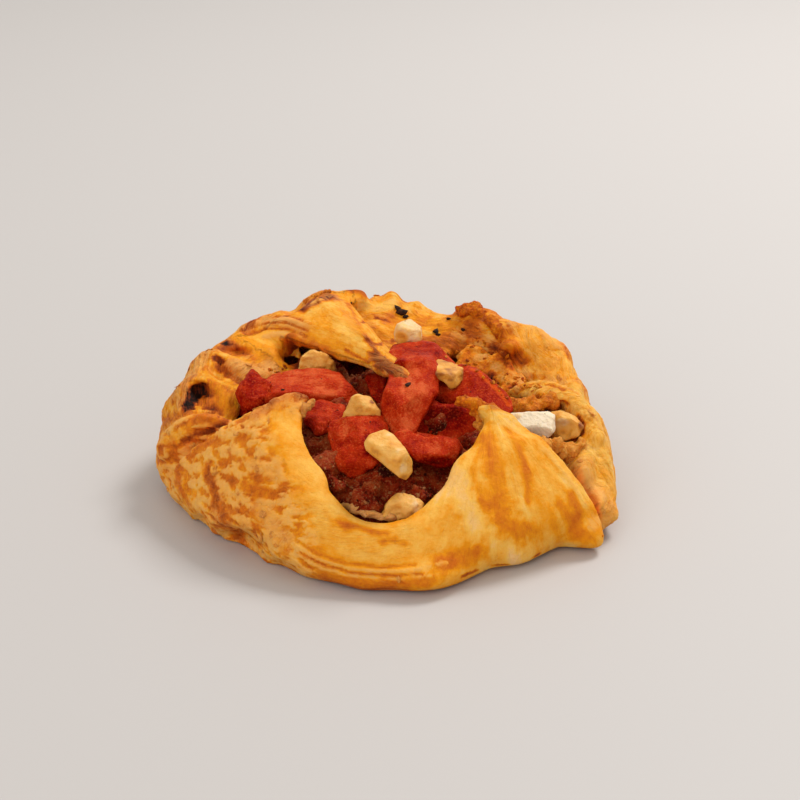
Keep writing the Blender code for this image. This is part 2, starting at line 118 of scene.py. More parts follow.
# A nudge moves a part of a piece as the camera sees it. It names the pixel, how far the nudge reaches to
# the side and up in pixels, and the move: to the right and down in pixels, and back in millimetres.
# A whole nudge also takes along the parts that face away from the camera.
Nudge = namedtuple("Nudge", "pixel half move whole", defaults=(False,))
CRUST_NUDGES = {
    "back_crest": Nudge((393, 302), (26, 26), (0, -8, 0), True),
    "back_crest_right": Nudge((419, 306), (20, 20), (0, -8, 0), True),
    "back_crest_left": Nudge((374, 300), (12, 14), (0, -5, 0), True),
    "rope_step": Nudge((294, 306), (18, 18), (2, 10, 0), True),
    "right_corner": Nudge((556, 350), (40, 36), (8, -8, 0), True),
    "right_upper": Nudge((532, 332), (26, 26), (4, -8, 0), True),
    "right_swell": Nudge((598, 396), (30, 28), (-9, 3, 0), True),
    "right_low_corner": Nudge((604, 514), (22, 26), (10, 5, -1), True),
    "right_foot": Nudge((592, 546), (34, 26), (11, 8, -3.8), True),
    "front_foot": Nudge((440, 586), (80, 30), (0, 7, -4), True),
    "front_left_foot": Nudge((366, 588), (40, 26), (0, 3, -1.7), True),
    "front_right_foot": Nudge((524, 564), (46, 24), (1, 4, -2.2), True),
    "left_foot": Nudge((240, 546), (56, 28), (6, -9, 4.4), True),
    "left_foot_end": Nudge((166, 476), (24, 22), (8, 0, 0), True),
    "left_foot_side": Nudge((200, 528), (26, 20), (4, -6, 2.4), True),
    "left_foot_front": Nudge((282, 568), (30, 20), (0, -4, 1.8), True),
    "left_swell": Nudge((168, 402), (18, 30), (-4, 0, 0), True),
    "right_tip": Nudge((492, 412), (18, 16), (-13, -5, 0), True),
    "left_tip": Nudge((299, 404), (18, 14), (8, -4, 0), True),
    "left_tip_rise": Nudge((290, 406), (32, 20), (0, -9, 0), True),
    "right_flap_edge": Nudge((512, 424), (20, 16), (-6, 5, 0), True),
    "right_flap_brow": Nudge((524, 428), (24, 14), (-2, 6, 0), True),
    "flap_tip": Nudge((398, 372), (42, 32), (7, 8, -9), True),
    "flap_point": Nudge((399, 375), (18, 11), (7, 4, -6.6), True),
    "right_fill": Nudge((582, 466), (20, 36), (0, 0, -4.5)),
    "right_fill_low": Nudge((600, 502), (16, 26), (0, 0, -4)),
    "slice_fill": Nudge((560, 448), (16, 10), (0, 0, -3)),
    "opening_right": Nudge((460, 466), (32, 30), (-6, -3, -0.5), True),
    "opening_right_upper": Nudge((482, 428), (18, 22), (-7, 0, 0), True),
    "opening_left": Nudge((318, 478), (14, 34), (6, 0, 0), True),
    "curl_roll": Nudge((545, 394), (38, 13), (0, 8, -3.5)),
    "curl_groove": Nudge((548, 409), (26, 6), (0, 0, 1.2)),
    "curl_fold": Nudge((530, 380), (26, 7), (0, 0, 1.6)),
    "left_pit": Nudge((199, 391), (13, 12), (0, 0, 3.0)),
    "left_pit_brow": Nudge((196, 377), (16, 6), (0, 1, -1.2)),
    "left_roll": Nudge((208, 416), (17, 9), (0, 0, -1.6)),
    "left_roll_groove": Nudge((204, 431), (20, 5), (0, 0, 1.6)),
    "small_pit": Nudge((220, 362), (8, 9), (0, 0, 0.9)),
    "left_wave": Nudge((240, 352), (18, 6), (0, 0, 1.2)),
    "pocket_pit": Nudge((294, 354), (11, 17), (0, 0, 2.5)),
    "pocket_fold": Nudge((272, 350), (13, 17), (0, 0, -1.4)),
    "pocket_hollow": Nudge((254, 370), (17, 10), (0, 0, 1.2)),
    "left_fold": Nudge((226, 398), (9, 16), (0, 0, -1.3)),
    "rope_groove": Nudge((284, 332), (30, 5), (0, 0, 1.0)),
    "rope_top": Nudge((280, 321), (34, 6), (0, 0, -1.0)),
    "hump_top": Nudge((318, 299), (17, 9), (0, 0, -1.6)),
    "hump_foot": Nudge((304, 312), (9, 7), (0, 0, 1.4)),
    "slice_hollow": Nudge((570, 428), (17, 14), (0, 0, 1.5)),
    "oval_blob": Nudge((511, 344), (12, 15), (0, 0, -2.0)),
    "back_fold": Nudge((378, 328), (16, 12), (0, 0, -1.2)),
    "back_fold_low": Nudge((376, 342), (18, 6), (0, 0, 1.4)),
}

# A mark on the crust: the pixels that it runs through, its half width in millimetres, how brown it is
# from 0, raw, to 1, burnt, how much of it is dry flakes, its height in millimetres, and over which share
# of its half width it fades out.
Mark = namedtuple("Mark", "pixels width bake flake relief fade", defaults=(0.0, 0.0, 0.7))
MARKS = {
    # left rim
    "left_rim_tan": Mark(((176, 392), (186, 378), (199, 362)), 2.0, 0.6, 0.7, 0.3, 1),
    "left_out_brown": Mark(((181, 404), (184, 390), (192, 376)), 1.0, 0.68, 0.4, 0, 1),
    "left_side_orange": Mark(((160, 425), (168, 418), (178, 416)), 1.8, 0.64, 0.1, 0, 1),
    "left_side_gold": Mark(((166, 440), (180, 436)), 2.0, 0.42, 0.2, 0, 1),
    "left_side_line": Mark(((160, 446), (176, 447), (192, 441)), 0.6, 0.74, 0, -0.3),
    "left_side_line_low": Mark(((160, 462), (178, 461), (194, 455)), 0.6, 0.7, 0, -0.3),
    "left_low_orange": Mark(((177, 470), (181, 488), (188, 500)), 2.0, 0.64, 0, 0, 1),
    "left_pit_floor": Mark(((200, 400), (209, 402), (217, 408)), 2.3, 0.72, 0, -0.2),
    "left_pit": Mark(((189, 408), (191, 398), (196, 390), (204, 387), (210, 391)), 1.8, 1.0, 0, -0.3, 0.3),
    "left_end": Mark(((204, 408), (214, 407), (222, 411), (226, 418), (224, 425)), 0.9, 0.88, 0, -0.4),
    "left_end_lobe": Mark(((190, 416), (205, 418), (216, 418)), 2.0, 0.62, 0.1, 0.3),
    "left_end_ring": Mark(((206, 414), (214, 413), (219, 418)), 0.5, 0.8, 0, -0.3),
    "left_groove": Mark(((183, 441), (196, 434), (208, 431), (223, 425)), 1.0, 0.9, 0, -0.5),
    "left_fold_gold": Mark(((214, 384), (222, 396), (228, 410)), 2.2, 0.5, 0, 0.2, 1),
    "left_fold_pale": Mark(((230, 392), (232, 404), (234, 414)), 1.4, 0.6, 0, 0, 1),
    "small_pit_rim": Mark(((219, 366), (226, 373), (238, 380)), 1.3, 0.8, 0, -0.1, 0.5),
    "small_pit": Mark(((215, 358), (219, 360), (222, 362)), 1.0, 0.98, 0, -0.2, 0.4),
    "upper_burn_edge": Mark(((222, 347), (234, 350), (246, 354)), 2.0, 0.76, 0, 0, 1),
    "upper_burn": Mark(((224, 342), (234, 344), (243, 348), (247, 353)), 1.3, 1.0, 0, -0.2, 0.4),
    "pocket_gold": Mark(((236, 338), (250, 346), (262, 352)), 2.4, 0.4, 0.1, 0.2, 1),
    "pocket_wall": Mark(((240, 366), (254, 371), (270, 369), (284, 360)), 3.0, 0.64, 0.75, 0.2, 1),
    "pocket_fold": Mark(((262, 344), (272, 354), (284, 364)), 1.6, 0.42, 0.2, 0.2, 1),
    "pocket_brim": Mark(((265, 335), (278, 334), (290, 337)), 1.2, 0.3, 0.8, 0.3),
    "pocket_pit": Mark(((290, 342), (295, 352), (298, 366)), 2.1, 0.86, 0, -0.4),
    "pocket_pit_deep": Mark(((296, 362), (301, 368)), 1.4, 0.9, 0, -0.3),
    # back rim and its flap
    "rope_tan": Mark(((246, 324), (262, 319), (284, 320), (306, 327)), 2.2, 0.56, 0.7, 0.2, 1),
    "rope_dark": Mark(((250, 320), (266, 315), (286, 316), (303, 321)), 0.4, 0.74, 0, -0.3),
    "rope_dark_middle": Mark(((252, 327), (268, 322), (288, 323), (308, 331)), 0.4, 0.7, 0, -0.3),
    "rope_dark_low": Mark(((246, 334), (264, 328), (286, 329), (306, 337)), 0.5, 0.7, 0, -0.3),
    "rope_pale_low": Mark(((272, 334), (288, 333), (300, 338)), 0.8, 0.3, 0.7, 0.2),
    "rope_brown_end": Mark(((243, 330), (252, 320), (262, 316)), 1.2, 0.8, 0.1),
    "hump": Mark(((306, 306), (317, 300), (330, 297)), 2.8, 0.86, 0.25, 0.2),
    "hump_pale": Mark(((313, 303), (321, 300)), 0.6, 0.44, 0.8, 0.2),
    "hump_line": Mark(((304, 308), (312, 300), (320, 294)), 0.5, 0.85, 0, -0.2),
    "knob": Mark(((352, 291), (360, 290), (364, 294)), 1.5, 0.74, 0, 0.3),
    "back_pale": Mark(((362, 304), (374, 309), (388, 306)), 1.6, 0.2, 0.2, 0, 1),
    "flap_gold": Mark(((318, 318), (330, 335), (345, 350)), 3.4, 0.4, 0.1, 0, 1),
    "flap_bright": Mark(((328, 304), (340, 324), (350, 338)), 1.6, 0.26, 0.1, 0.1, 1),
    "flap_orange_edge": Mark(((349, 304), (356, 318), (364, 332)), 0.8, 0.6, 0, 0, 1),
    "flap_orange": Mark(((290, 336), (306, 345), (320, 350), (334, 357)), 1.8, 0.7, 0, 0, 1),
    "flap_stripe": Mark(((318, 352), (338, 360), (356, 367)), 0.6, 0.86, 0, -0.2),
    "flap_under": Mark(((340, 361), (356, 368), (374, 375), (390, 379)), 1.1, 0.84, 0, -0.1),
    "flap_stripe_upper": Mark(((346, 350), (364, 360), (384, 371)), 0.5, 0.74),
    "flap_tip": Mark(((372, 354), (384, 363), (394, 371), (405, 378)), 1.5, 0.86, 0.2),
    "flap_edge": Mark(((362, 332), (374, 348), (388, 362), (402, 374)), 0.7, 0.78, 0.3, 0.1),
    "back_fold": Mark(((362, 322), (376, 318), (390, 322)), 0.6, 0.8, 0, -0.2),
    "back_gold": Mark(((364, 331), (378, 334), (392, 331)), 2.2, 0.4, 0.1, 0.2, 1),
    "back_low_brown": Mark(((366, 340), (380, 345), (393, 341)), 0.8, 0.78),
    # back right
    "back_wall": Mark(((405, 322), (425, 322), (445, 330)), 3.0, 0.5, 0, 0, 1),
    "wall_orange": Mark(((430, 340), (452, 346), (466, 350)), 2.8, 0.68, 0.1, 0, 1),
    "wall_deep": Mark(((470, 326), (474, 338), (480, 346)), 2.4, 0.72, 0, 0, 1),
    "blob_tops": Mark(((459, 310), (470, 306), (482, 306), (494, 312), (505, 318)), 1.9, 0.66, 0.2, 0.2),
    "blob_shade": Mark(((478, 314), (488, 320), (498, 329)), 1.3, 0.8, 0, -0.2),
    "web_pale": Mark(((476, 348), (488, 354), (500, 360)), 2.0, 0.3, 0.9, 0, 1),
    "web_pale_low": Mark(((508, 366), (522, 376), (536, 386)), 2.0, 0.22, 0.6, 0, 1),
    "wall_brown": Mark(((494, 348), (506, 356), (522, 360)), 2.0, 0.84, 0, -0.2, 1),
    "wall_brown_low": Mark(((456, 358), (474, 368), (496, 384)), 2.2, 0.82, 0, 0, 1),
    "blob_outline": Mark(((503, 332), (501, 342), (506, 354), (516, 358), (522, 352)), 0.6, 0.84, 0, -0.3),
    "blob_round": Mark(((506, 336), (513, 346)), 2.2, 0.62, 0, 0.2),
    # right rim
    "right_wall_gold": Mark(((524, 332), (540, 350), (552, 368)), 3.4, 0.36, 0.3, 0, 1),
    "right_crest": Mark(((530, 326), (550, 338), (566, 352)), 1.3, 0.3, 0.6, 0.1, 1),
    "right_crest_brown": Mark(((556, 338), (564, 347), (569, 358)), 0.9, 0.7, 0.2, 0, 1),
    "curl_ring": Mark(((516, 398), (530, 391), (548, 391), (566, 398), (580, 410)), 1.6, 0.3, 0.3, 0.2),
    "curl_line_upper": Mark(((516, 394), (530, 385), (548, 384), (564, 389)), 0.5, 0.66, 0, -0.3),
    "curl_line": Mark(((520, 403), (534, 397), (550, 397), (568, 404)), 0.5, 0.76, 0, -0.3),
    "curl_hole": Mark(((530, 404), (540, 402), (548, 405)), 1.2, 0.66, 0, -0.3),
    "slice_end": Mark(((577, 416), (583, 424), (582, 434), (574, 440)), 0.8, 0.86, 0, -0.3),
    "right_shelf": Mark(((590, 440), (570, 446), (556, 450), (562, 462)), 1.6, 0.3, 0.2, 0, 1),
    "right_rim_pale": Mark(((597, 428), (604, 456), (606, 488)), 3.0, 0.3, 0.2, 0, 1),
    "right_edge_pale": Mark(((584, 474), (594, 492), (602, 518)), 3.0, 0.34, 0.8, 0.3, 1),
    # front, right flap
    "gold_left": Mark(((456, 482), (466, 502), (474, 522)), 3.2, 0.08, 0.2, 0, 1),
    "gold_1": Mark(((484, 440), (494, 466), (500, 494)), 2.8, 0.56, 0, 0, 1),
    "gold_2": Mark(((508, 456), (514, 478), (516, 500)), 1.3, 0.34, 0.1, 0, 1),
    "gold_3": Mark(((532, 450), (546, 472), (556, 494)), 2.0, 0.3, 0, 0, 1),
    "gold_4": Mark(((540, 490), (546, 512), (548, 532)), 1.5, 0.34, 0, 0, 1),
    "streak_1": Mark(((489, 424), (494, 446), (500, 468), (504, 490)), 0.9, 0.5, 0, 0, 1),
    "streak_2": Mark(((508, 430), (520, 450), (527, 474), (528, 500)), 1.1, 0.56, 0, 0, 1),
    "streak_3": Mark(((472, 470), (478, 490), (484, 510)), 0.8, 0.46, 0, 0, 1),
    "deep_low": Mark(((560, 506), (570, 518), (572, 534)), 2.2, 0.56, 0, 0, 1),
    "deep_middle": Mark(((496, 506), (508, 524), (524, 532)), 3.4, 0.58, 0, 0, 1),
    "deep_edge": Mark(((572, 496), (578, 514), (578, 534)), 1.6, 0.6, 0, 0, 1),
    "flap_right_edge": Mark(((502, 422), (524, 436), (548, 453), (568, 478), (584, 505)), 0.8, 0.2, 0.4, 0.2),
    "flap_right_tip": Mark(((476, 404), (484, 403), (494, 408)), 1.6, 0.68, 0.5, 0.3),
    "right_corner": Mark(((592, 524), (602, 518), (612, 508)), 1.8, 0.42, 0.5, 0.1),
    # front band
    "band_gold": Mark(((330, 532), (352, 544), (376, 550)), 2.4, 0.3, 0.1, 0.1, 1),
    "band_gold_right": Mark(((410, 528), (430, 534), (448, 528)), 2.4, 0.32, 0.1, 0, 1),
    "band_brown": Mark(((328, 512), (338, 520), (348, 526)), 1.4, 0.68, 0, 0, 1),
    "band_brown_right": Mark(((356, 526), (372, 532), (386, 534)), 0.9, 0.62, 0.1, 0, 1),
    "band_spots": Mark(((382, 542), (394, 540), (404, 544)), 0.9, 0.56, 0.1, 0, 1),
    # Browner low on the band: partly its own colour, partly painted shade under its curve.
    "band_low_orange": Mark(((330, 566), (352, 578), (388, 584), (430, 580)), 1.8, 0.6, 0, 0, 1),
    "band_right_orange": Mark(((440, 562), (460, 560), (478, 552)), 2.4, 0.62, 0, 0, 1),
    "ridge_1": Mark(
        ((296, 546), (318, 559), (345, 568), (378, 572), (412, 571), (446, 563)), 0.5, 0.3, 0.6, 0.3
    ),
    "ridge_2": Mark(((306, 560), (330, 570), (362, 577), (398, 579), (430, 575)), 0.5, 0.32, 0.6, 0.25),
    "ridge_gap": Mark(((300, 553), (324, 565), (354, 573), (388, 576), (422, 574)), 0.4, 0.66, 0, -0.3),
    "ridge_gap_upper": Mark(((296, 540), (316, 553), (346, 563), (380, 567), (414, 565)), 0.4, 0.56, 0, -0.2),
    "notch_lip": Mark(((352, 514), (370, 520), (388, 521), (404, 516)), 0.9, 0.16, 0.7, 0.3),
    "base_right": Mark(((462, 576), (500, 567), (540, 557), (584, 548)), 0.5, 0.8, 0, 0, 0.6),
    "base_left": Mark(((290, 568), (330, 584), (380, 592), (430, 590)), 0.5, 0.74, 0, 0, 0.8),
    # front, left flap
    "opening_gold": Mark(((306, 440), (308, 470), (320, 494), (334, 512)), 2.6, 0.26, 0, 0.1, 1),
    "opening_gold_upper": Mark(((290, 426), (294, 450), (300, 478)), 2.4, 0.32, 0.1, 0, 1),
    "flap_left_tip": Mark(((256, 414), (274, 402), (292, 397), (306, 404)), 2.6, 0.66, 0.35, 0.2, 1),
    "tip_brown": Mark(((274, 403), (286, 394), (298, 396), (306, 398)), 1.1, 0.78, 0.2, 0.3),
    "left_flap_pale": Mark(((262, 506), (270, 522), (284, 540)), 2.4, 0.44, 0.6, 0.1, 1),
    "left_flap_pale_upper": Mark(((250, 462), (268, 470), (276, 480)), 1.4, 0.42, 0.6, 0.1, 1),
    "left_flap_orange": Mark(((244, 484), (258, 490), (272, 494)), 1.5, 0.6, 0, -0.1),
    "left_flap_brown": Mark(((206, 472), (213, 484), (216, 498)), 1.4, 0.74, 0, -0.1),
    "left_flap_low": Mark(((216, 502), (226, 516), (240, 536)), 2.2, 0.76, 0.1, 0, 1),
}

# A part of a topping: the construction solid that it starts from, the corners of its outline in the
# picture, how far it moves back in millimetres, and its cuts. A cut is a flat face: the pixel where it
# meets the surface, the way that it faces in the picture and towards the camera in degrees, and its depth.
Part = namedtuple("Part", "node outline back cuts", defaults=(0.0, ()))
# A topping: how deep red, or how toasted, it is from 0 to 1, how rough it is, and its parts.
Topping = namedtuple("Topping", "tone rough parts")
WEDGE_PARTS = (
    Part(
        "tomato_middle",
        ((394, 362), (406, 352), (432, 354), (441, 370), (438, 392), (414, 434), (404, 447), (391, 436),
         (380, 419), (381, 404)),
        1.5,
        (((416, 400), 10, 62, 0.9), ((393, 404), 170, 46, 0.9)),
    ),
    Part(
        "tomato_back",
        ((388, 354), (393, 346), (404, 342), (420, 340), (434, 342), (447, 354), (460, 370), (440, 394),
         (404, 392), (389, 374)),
        -5.0,
    ),
    # The lobe at its lower end, and the thin wall behind its hollow.
    Part(
        "tomato_hollow",
        ((390, 434), (406, 430), (440, 436), (458, 440), (463, 448), (454, 466), (436, 468),
         (418, 461), (400, 447)),
        -1.5,
        (((436, 444), 80, 50, 0.8),),
    ),
    Part(
        "tomato_hollow", ((404, 388), (484, 388), (484, 448), (404, 448)), 12.0, (((444, 420), 0, 88, 3.0),)
    ),
    Part(
        "tomato_right",
        ((430, 374), (462, 364), (480, 371), (497, 384), (512, 400), (514, 410), (502, 422),
         (466, 416), (428, 406)),
        -5.0,
        (((484, 390), 60, 50, 0.8),),
    ),
)
TOMATOES = {
    "tomato_wedge": Topping(0.4, 0.1, WEDGE_PARTS),
    "tomato_left_slab": Topping(0.3, 0.1, (Part(
        "tomato_left",
        ((262, 384), (272, 375), (298, 369), (326, 368), (339, 372), (350, 384), (358, 396), (354, 410),
         (342, 420), (306, 418), (264, 412)),
        cuts=(((310, 377), 95, 24, 0.8), ((318, 396), 270, 60, 0.6), ((350, 394), 15, 40, 0.6)),
    ),)),
    "tomato_front_chunk": Topping(0.4, 0.6, (Part(
        "tomato_front",
        ((329, 422), (345, 417), (384, 414), (394, 428), (390, 452), (373, 467), (353, 480),
         (338, 470), (328, 437)),
        cuts=(((344, 430), 130, 50, 0.9), ((372, 426), 60, 45, 0.8), ((350, 462), 240, 62, 0.9)),
    ),)),
    "tomato_behind_flesh": Topping(0.7, 0.1, (Part(
        "tomato_behind", ((363, 374), (378, 371), (393, 380), (386, 396), (379, 407), (371, 396))
    ),)),
    "tomato_left_lump": Topping(0.62, 0.7, (Part(
        "tomato_bit_left",
        ((232, 397), (239, 385), (252, 370), (264, 378), (284, 393), (284, 411), (262, 421), (238, 416)),
        cuts=(((254, 386), 100, 40, 0.8),),
    ),)),
    "tomato_front_bit": Topping(0.5, 0.9, (Part(
        "tomato_bit_front",
        ((304, 405), (320, 400), (342, 404), (348, 416), (334, 432), (316, 436), (305, 424)),
        1.5,
    ),)),
}
CHEESES = {
    "cheese_back_cube": Topping(0.16, 0.3, (Part(
        "cheese_back",
        ((394, 333), (397, 324), (410, 319), (421, 327), (422, 340), (416, 348), (402, 347), (395, 341)),
        cuts=(((413, 324), 70, 30, 0.8), ((416, 336), -10, 55, 0.8), ((402, 336), 220, 55, 0.8)),
    ),)),
    "cheese_top_cube": Topping(0.6, 0.5, (Part(
        "cheese_top",
        ((431, 367), (438, 359), (449, 362), (464, 368), (463, 379), (459, 386), (448, 393),
         (438, 390), (431, 384)),
        -4.0,
        (((450, 366), 80, 25, 0.8), ((444, 382), 250, 62, 0.8), ((460, 378), 10, 40, 0.6)),
    ),)),
    "cheese_middle_cube": Topping(0.42, 0.5, (Part(
        "cheese_middle",
        ((352, 397), (358, 394), (370, 397), (381, 412), (380, 418), (362, 424), (351, 424),
         (342, 419), (347, 407)),
        -2.5,
        (((358, 410), 200, 70, 0.9), ((370, 404), 50, 45, 0.8)),
    ),)),
    "cheese_front_cube": Topping(0.4, 0.15, (Part(
        "cheese_front",
        ((364, 443), (369, 435), (385, 429), (393, 434), (406, 449), (412, 461), (412, 473), (406, 480),
         (400, 478), (366, 450)),
        cuts=(((386, 450), 110, 62, 0.6), ((406, 466), -10, 40, 0.5)),
    ),)),
    "cheese_right_cube": Topping(0.0, 0.2, (Part(
        "cheese_right",
        ((507, 418), (511, 413), (548, 411), (555, 415), (555, 431), (548, 439), (520, 434)),
        -0.5,
        (((532, 424), 92, 52, 0.7), ((552, 422), 10, 30, 0.5)),
    ),)),
    "cheese_low_cube": Topping(0.36, 1.3, (Part(
        "cheese_low",
        ((382, 517), (385, 506), (392, 497), (400, 493), (413, 495), (423, 502), (421, 512), (404, 521)),
    ),)),
    # Browner all over than most cubes: partly its own toast, partly painted shade under the flap.
    "cheese_left_cube": Topping(0.44, 1.0, (Part(
        "cheese_left", ((299, 369), (302, 356), (311, 350), (325, 353), (334, 362), (336, 371))
    ),)),
    "cheese_pocket_slice": Topping(0.44, 0.6, (Part(
        "cheese_pocket",
        ((546, 413), (560, 410), (576, 417), (584, 427), (578, 437), (562, 442), (546, 439)),
        -1.0,
        (((562, 426), 190, 74, 1.2),),
    ),)),
}
TOPPING_NUDGES = {
    "tomato_wedge": {
        "inner_face": Nudge((412, 412), (14, 26), (0, 0, 1.0)),
        "back_crease": Nudge((412, 360), (34, 9), (0, 0, -1.6)),
        "flap_bed": Nudge((393, 371), (22, 15), (0, 0, 3.4)),
    },
    "tomato_left_slab": {"top_dent": Nudge((318, 386), (24, 6), (0, 0, 0.8))},
    "cheese_pocket_slice": {"hollow": Nudge((563, 427), (18, 13), (0, 0, 3.0))},
}
# Spots on the toppings: a pixel, how far the spot reaches to the side and up in pixels, and its tone. Several
# of them are painted light and shade, as marked.
SPOTS = {
    "tomato_wedge": {
        "back_top": ((425, 350), (34, 12), 0.66),
        "back_left": ((396, 362), (14, 10), 0.6),
        "right": ((486, 388), (34, 24), 0.6),
        # Painted shade: right_low, arch and wall_low darken the flesh under the arch and at the wall's foot.
        "right_low": ((450, 400), (30, 8), 0.8),
        # Painted light: strip, strip_low and wall make the lit faces paler.
        "strip": ((414, 390), (20, 46), 0.14),
        "strip_low": ((404, 426), (18, 16), 0.2),
        "strip_left": ((390, 398), (13, 30), 0.44),
        "arch": ((448, 398), (28, 9), 0.62),
        # The cavity's dark red is partly its juicy flesh and partly painted shade.
        "cavity": ((444, 418), (40, 22), 0.8),
        "cavity_deep": ((452, 412), (22, 10), 0.95),
        "wall": ((438, 447), (32, 9), 0.34),
        "wall_low": ((436, 461), (34, 6), 0.75),
    },
    "tomato_left_slab": {
        "orange": ((306, 376), (46, 6), 0.24),
        # Painted light and shade: light makes the lit top paler, dark_foot darkens the foot in shade.
        "light": ((322, 392), (26, 9), 0.2),
        "dark_foot": ((328, 414), (34, 7), 0.7),
        "left": ((276, 396), (14, 14), 0.5),
    },
    "tomato_front_chunk": {
        # Painted light and shade: the top is paler and the side darker.
        "top": ((342, 430), (16, 14), 0.3),
        "top_right": ((374, 426), (16, 9), 0.5),
        "side": ((370, 446), (18, 20), 0.74),
        "foot": ((352, 472), (24, 10), 0.5),
    },
    # The mince's hollow spot is a painted shadow under the cheese.
    "mince": {"hollow": ((388, 470), (15, 10), -0.4), "left_red": ((320, 440), (16, 22), 0.5)},
    "cheese_back_cube": {"toast": ((401, 338), (10, 9), 0.62), "white": ((415, 328), (9, 10), 0.2)},
    "cheese_top_cube": {
        "top": ((450, 365), (14, 6), 0.62),
        "front": ((450, 376), (12, 6), 0.78),
        "dark": ((450, 380), (4, 3), 1.0),
        "brown": ((436, 380), (5, 5), 0.8),
        "low": ((446, 388), (10, 5), 0.5),
    },
    "cheese_middle_cube": {"gold": ((359, 409), (8, 6), 0.74), "burnt": ((372, 402), (4, 4), 0.85)},
    "cheese_front_cube": {"pale": ((404, 468), (8, 10), 0.2), "orange": ((376, 452), (7, 4), 0.6)},
    "cheese_right_cube": {"warm": ((516, 416), (8, 6), 0.14)},
    "cheese_pocket_slice": {"edge": ((581, 426), (4, 10), 0.8), "hollow": ((562, 422), (12, 8), 0.2)},
}
# Where the wedge still has its skin, by the pixels along it.
SKIN_EDGE = ((472, 369), (484, 378), (497, 390), (508, 404))


def colour(code):
    """The linear colour, with alpha, of an sRGB hex value."""
    parts = [int(code[place : place + 2], 16) / 255 for place in (1, 3, 5)]
    return (*(c / 12.92 if c <= 0.04045 else ((c + 0.055) / 1.055) ** 2.4 for c in parts), 1.0)


def colour_property(name, code, description):
    """A colour that the panel shows, from its hex value."""
    return FloatVectorProperty(
        name=name, description=description, default=colour(code), subtype="COLOR", size=4, min=0, max=1
    )


def length_property(name, millimetres, description):
    """A length that the panel shows, kept in metres."""
    return FloatProperty(name=name, description=description, default=millimetres * MM, unit="LENGTH", min=0)


class CrustSettings(bpy.types.PropertyGroup):
    detail: length_property("Detail", 0.62, "Spacing of the points of the crust's mesh")
    layer: length_property("Layer spacing", 2.0, "Spacing of the laminated layers that show at the rim")
    layer_depth: length_property("Layer depth", 0.7, "Height of one laminated layer's edge")
    flake: length_property("Flake width", 4.2, "Width of the dry flakes on the left flap")
    flake_depth: length_property("Flake depth", 0.34, "Height of the dry flakes")
    raw: colour_property("Raw", "#EFBE7C", "Dough that the heat hardly reached")
    pale: colour_property("Pale", "#F2B750", "Lightly baked dough")
    gold: colour_property("Gold", "#EA930E", "Egg washed golden crust")
    orange: colour_property("Orange", "#CE6A12", "Deeper baked crust")
    brown: colour_property("Brown", "#8E3A0C", "Brown edges and crests")
    burnt: colour_property("Burnt", "#1C0D08", "Burnt spots")
    dry: colour_property("Dry flakes", "#E6A656", "Dry outer flakes, paler and less yellow than the crust")


class FillingSettings(bpy.types.PropertyGroup):
    detail: length_property("Detail", 0.55, "Spacing of the points of the mince's mesh")
    grain: length_property("Grain size", 1.0, "Middle size of the loose grains of mince")
    grains: IntProperty(name="Grains", description="Number of loose grains", default=1500, min=0)
    light: colour_property("Light meat", "#B07448", "Meat that the light catches")
    middle: colour_property("Meat", "#A0441A", "Cooked minced meat")
    dark: colour_property("Dark meat", "#8A1E04", "Meat soaked in tomato juice")


class TomatoSettings(bpy.types.PropertyGroup):
    detail: length_property("Detail", 0.4, "Spacing of the points of a tomato piece's mesh")
    # The light and deep flesh also serve as painted light and shade on lit faces and shaded hollows.
    light: colour_property("Light flesh", "#D05A2C", "Flesh that lost its juice")
    flesh: colour_property("Flesh", "#B42E08", "Soft cooked flesh")
    deep: colour_property("Deep flesh", "#8A0800", "Juicy flesh in the hollows")
    skin: colour_property("Skin", "#CC4A06", "Edges that still carry skin")


class CheeseSettings(bpy.types.PropertyGroup):
    detail: length_property("Detail", 0.36, "Spacing of the points of a cheese cube's mesh")
    white: colour_property("White", "#E6D3B4", "Fresh cheese")
    toasted: colour_property("Toasted", "#DC942E", "Cheese toasted by the oven")
    brown: colour_property("Brown", "#8A430F", "Browned corners")


class CrumbSettings(bpy.types.PropertyGroup):
    burnt: colour_property("Burnt crumb", "#1A1210", "Burnt crumbs and pepper")
    flakes: IntProperty(name="Flakes", description="Number of loose flakes on the crust", default=110, min=0)


class StageSettings(bpy.types.PropertyGroup):
    floor: colour_property("Floor", "#BAB5B2", "Pale floor")
    key: FloatProperty(name="Key light", description="Power of the main light", default=9.5, unit="POWER")
    fill: FloatProperty(name="Fill light", description="Power of the front light", default=4.6, unit="POWER")
    ambient: FloatProperty(name="Ambient", description="Strength of the light from all around", default=0.72)


# ---------------------------------------------------------------- mesh helpers


def only(thing):
    """Deselects everything else and makes the object the active one."""
    bpy.ops.object.select_all(action="DESELECT")
    thing.select_set(True)
    bpy.context.view_layer.objects.active = thing


def apply_all(thing):
    """Applies an object's modifiers in their order."""
    only(thing)
    for modifier in list(thing.modifiers):
        bpy.ops.object.modifier_apply(modifier=modifier.name)


def points_of(thing):
    """The points and the normals of a mesh, in millimetres."""
    mesh = thing.data
    points = np.empty(len(mesh.vertices) * 3)
    mesh.vertices.foreach_get("co", points)
    normals = np.array([vertex.vector[:] for vertex in mesh.vertex_normals])
    return points.reshape(-1, 3) / MM, normals


def set_points(thing, points):
    """Moves the points of a mesh to places in millimetres."""
    thing.data.vertices.foreach_set("co", (points * MM).ravel())
    thing.data.update()


def store(thing, name, values):
    """Keeps one number, or three, for each point, for the material to read."""
    kind = "FLOAT" if values.ndim == 1 else "FLOAT_VECTOR"
    attribute = thing.data.attributes.new(name, kind, "POINT")
    attribute.data.foreach_set("value" if kind == "FLOAT" else "vector", values.astype(np.float32).ravel())


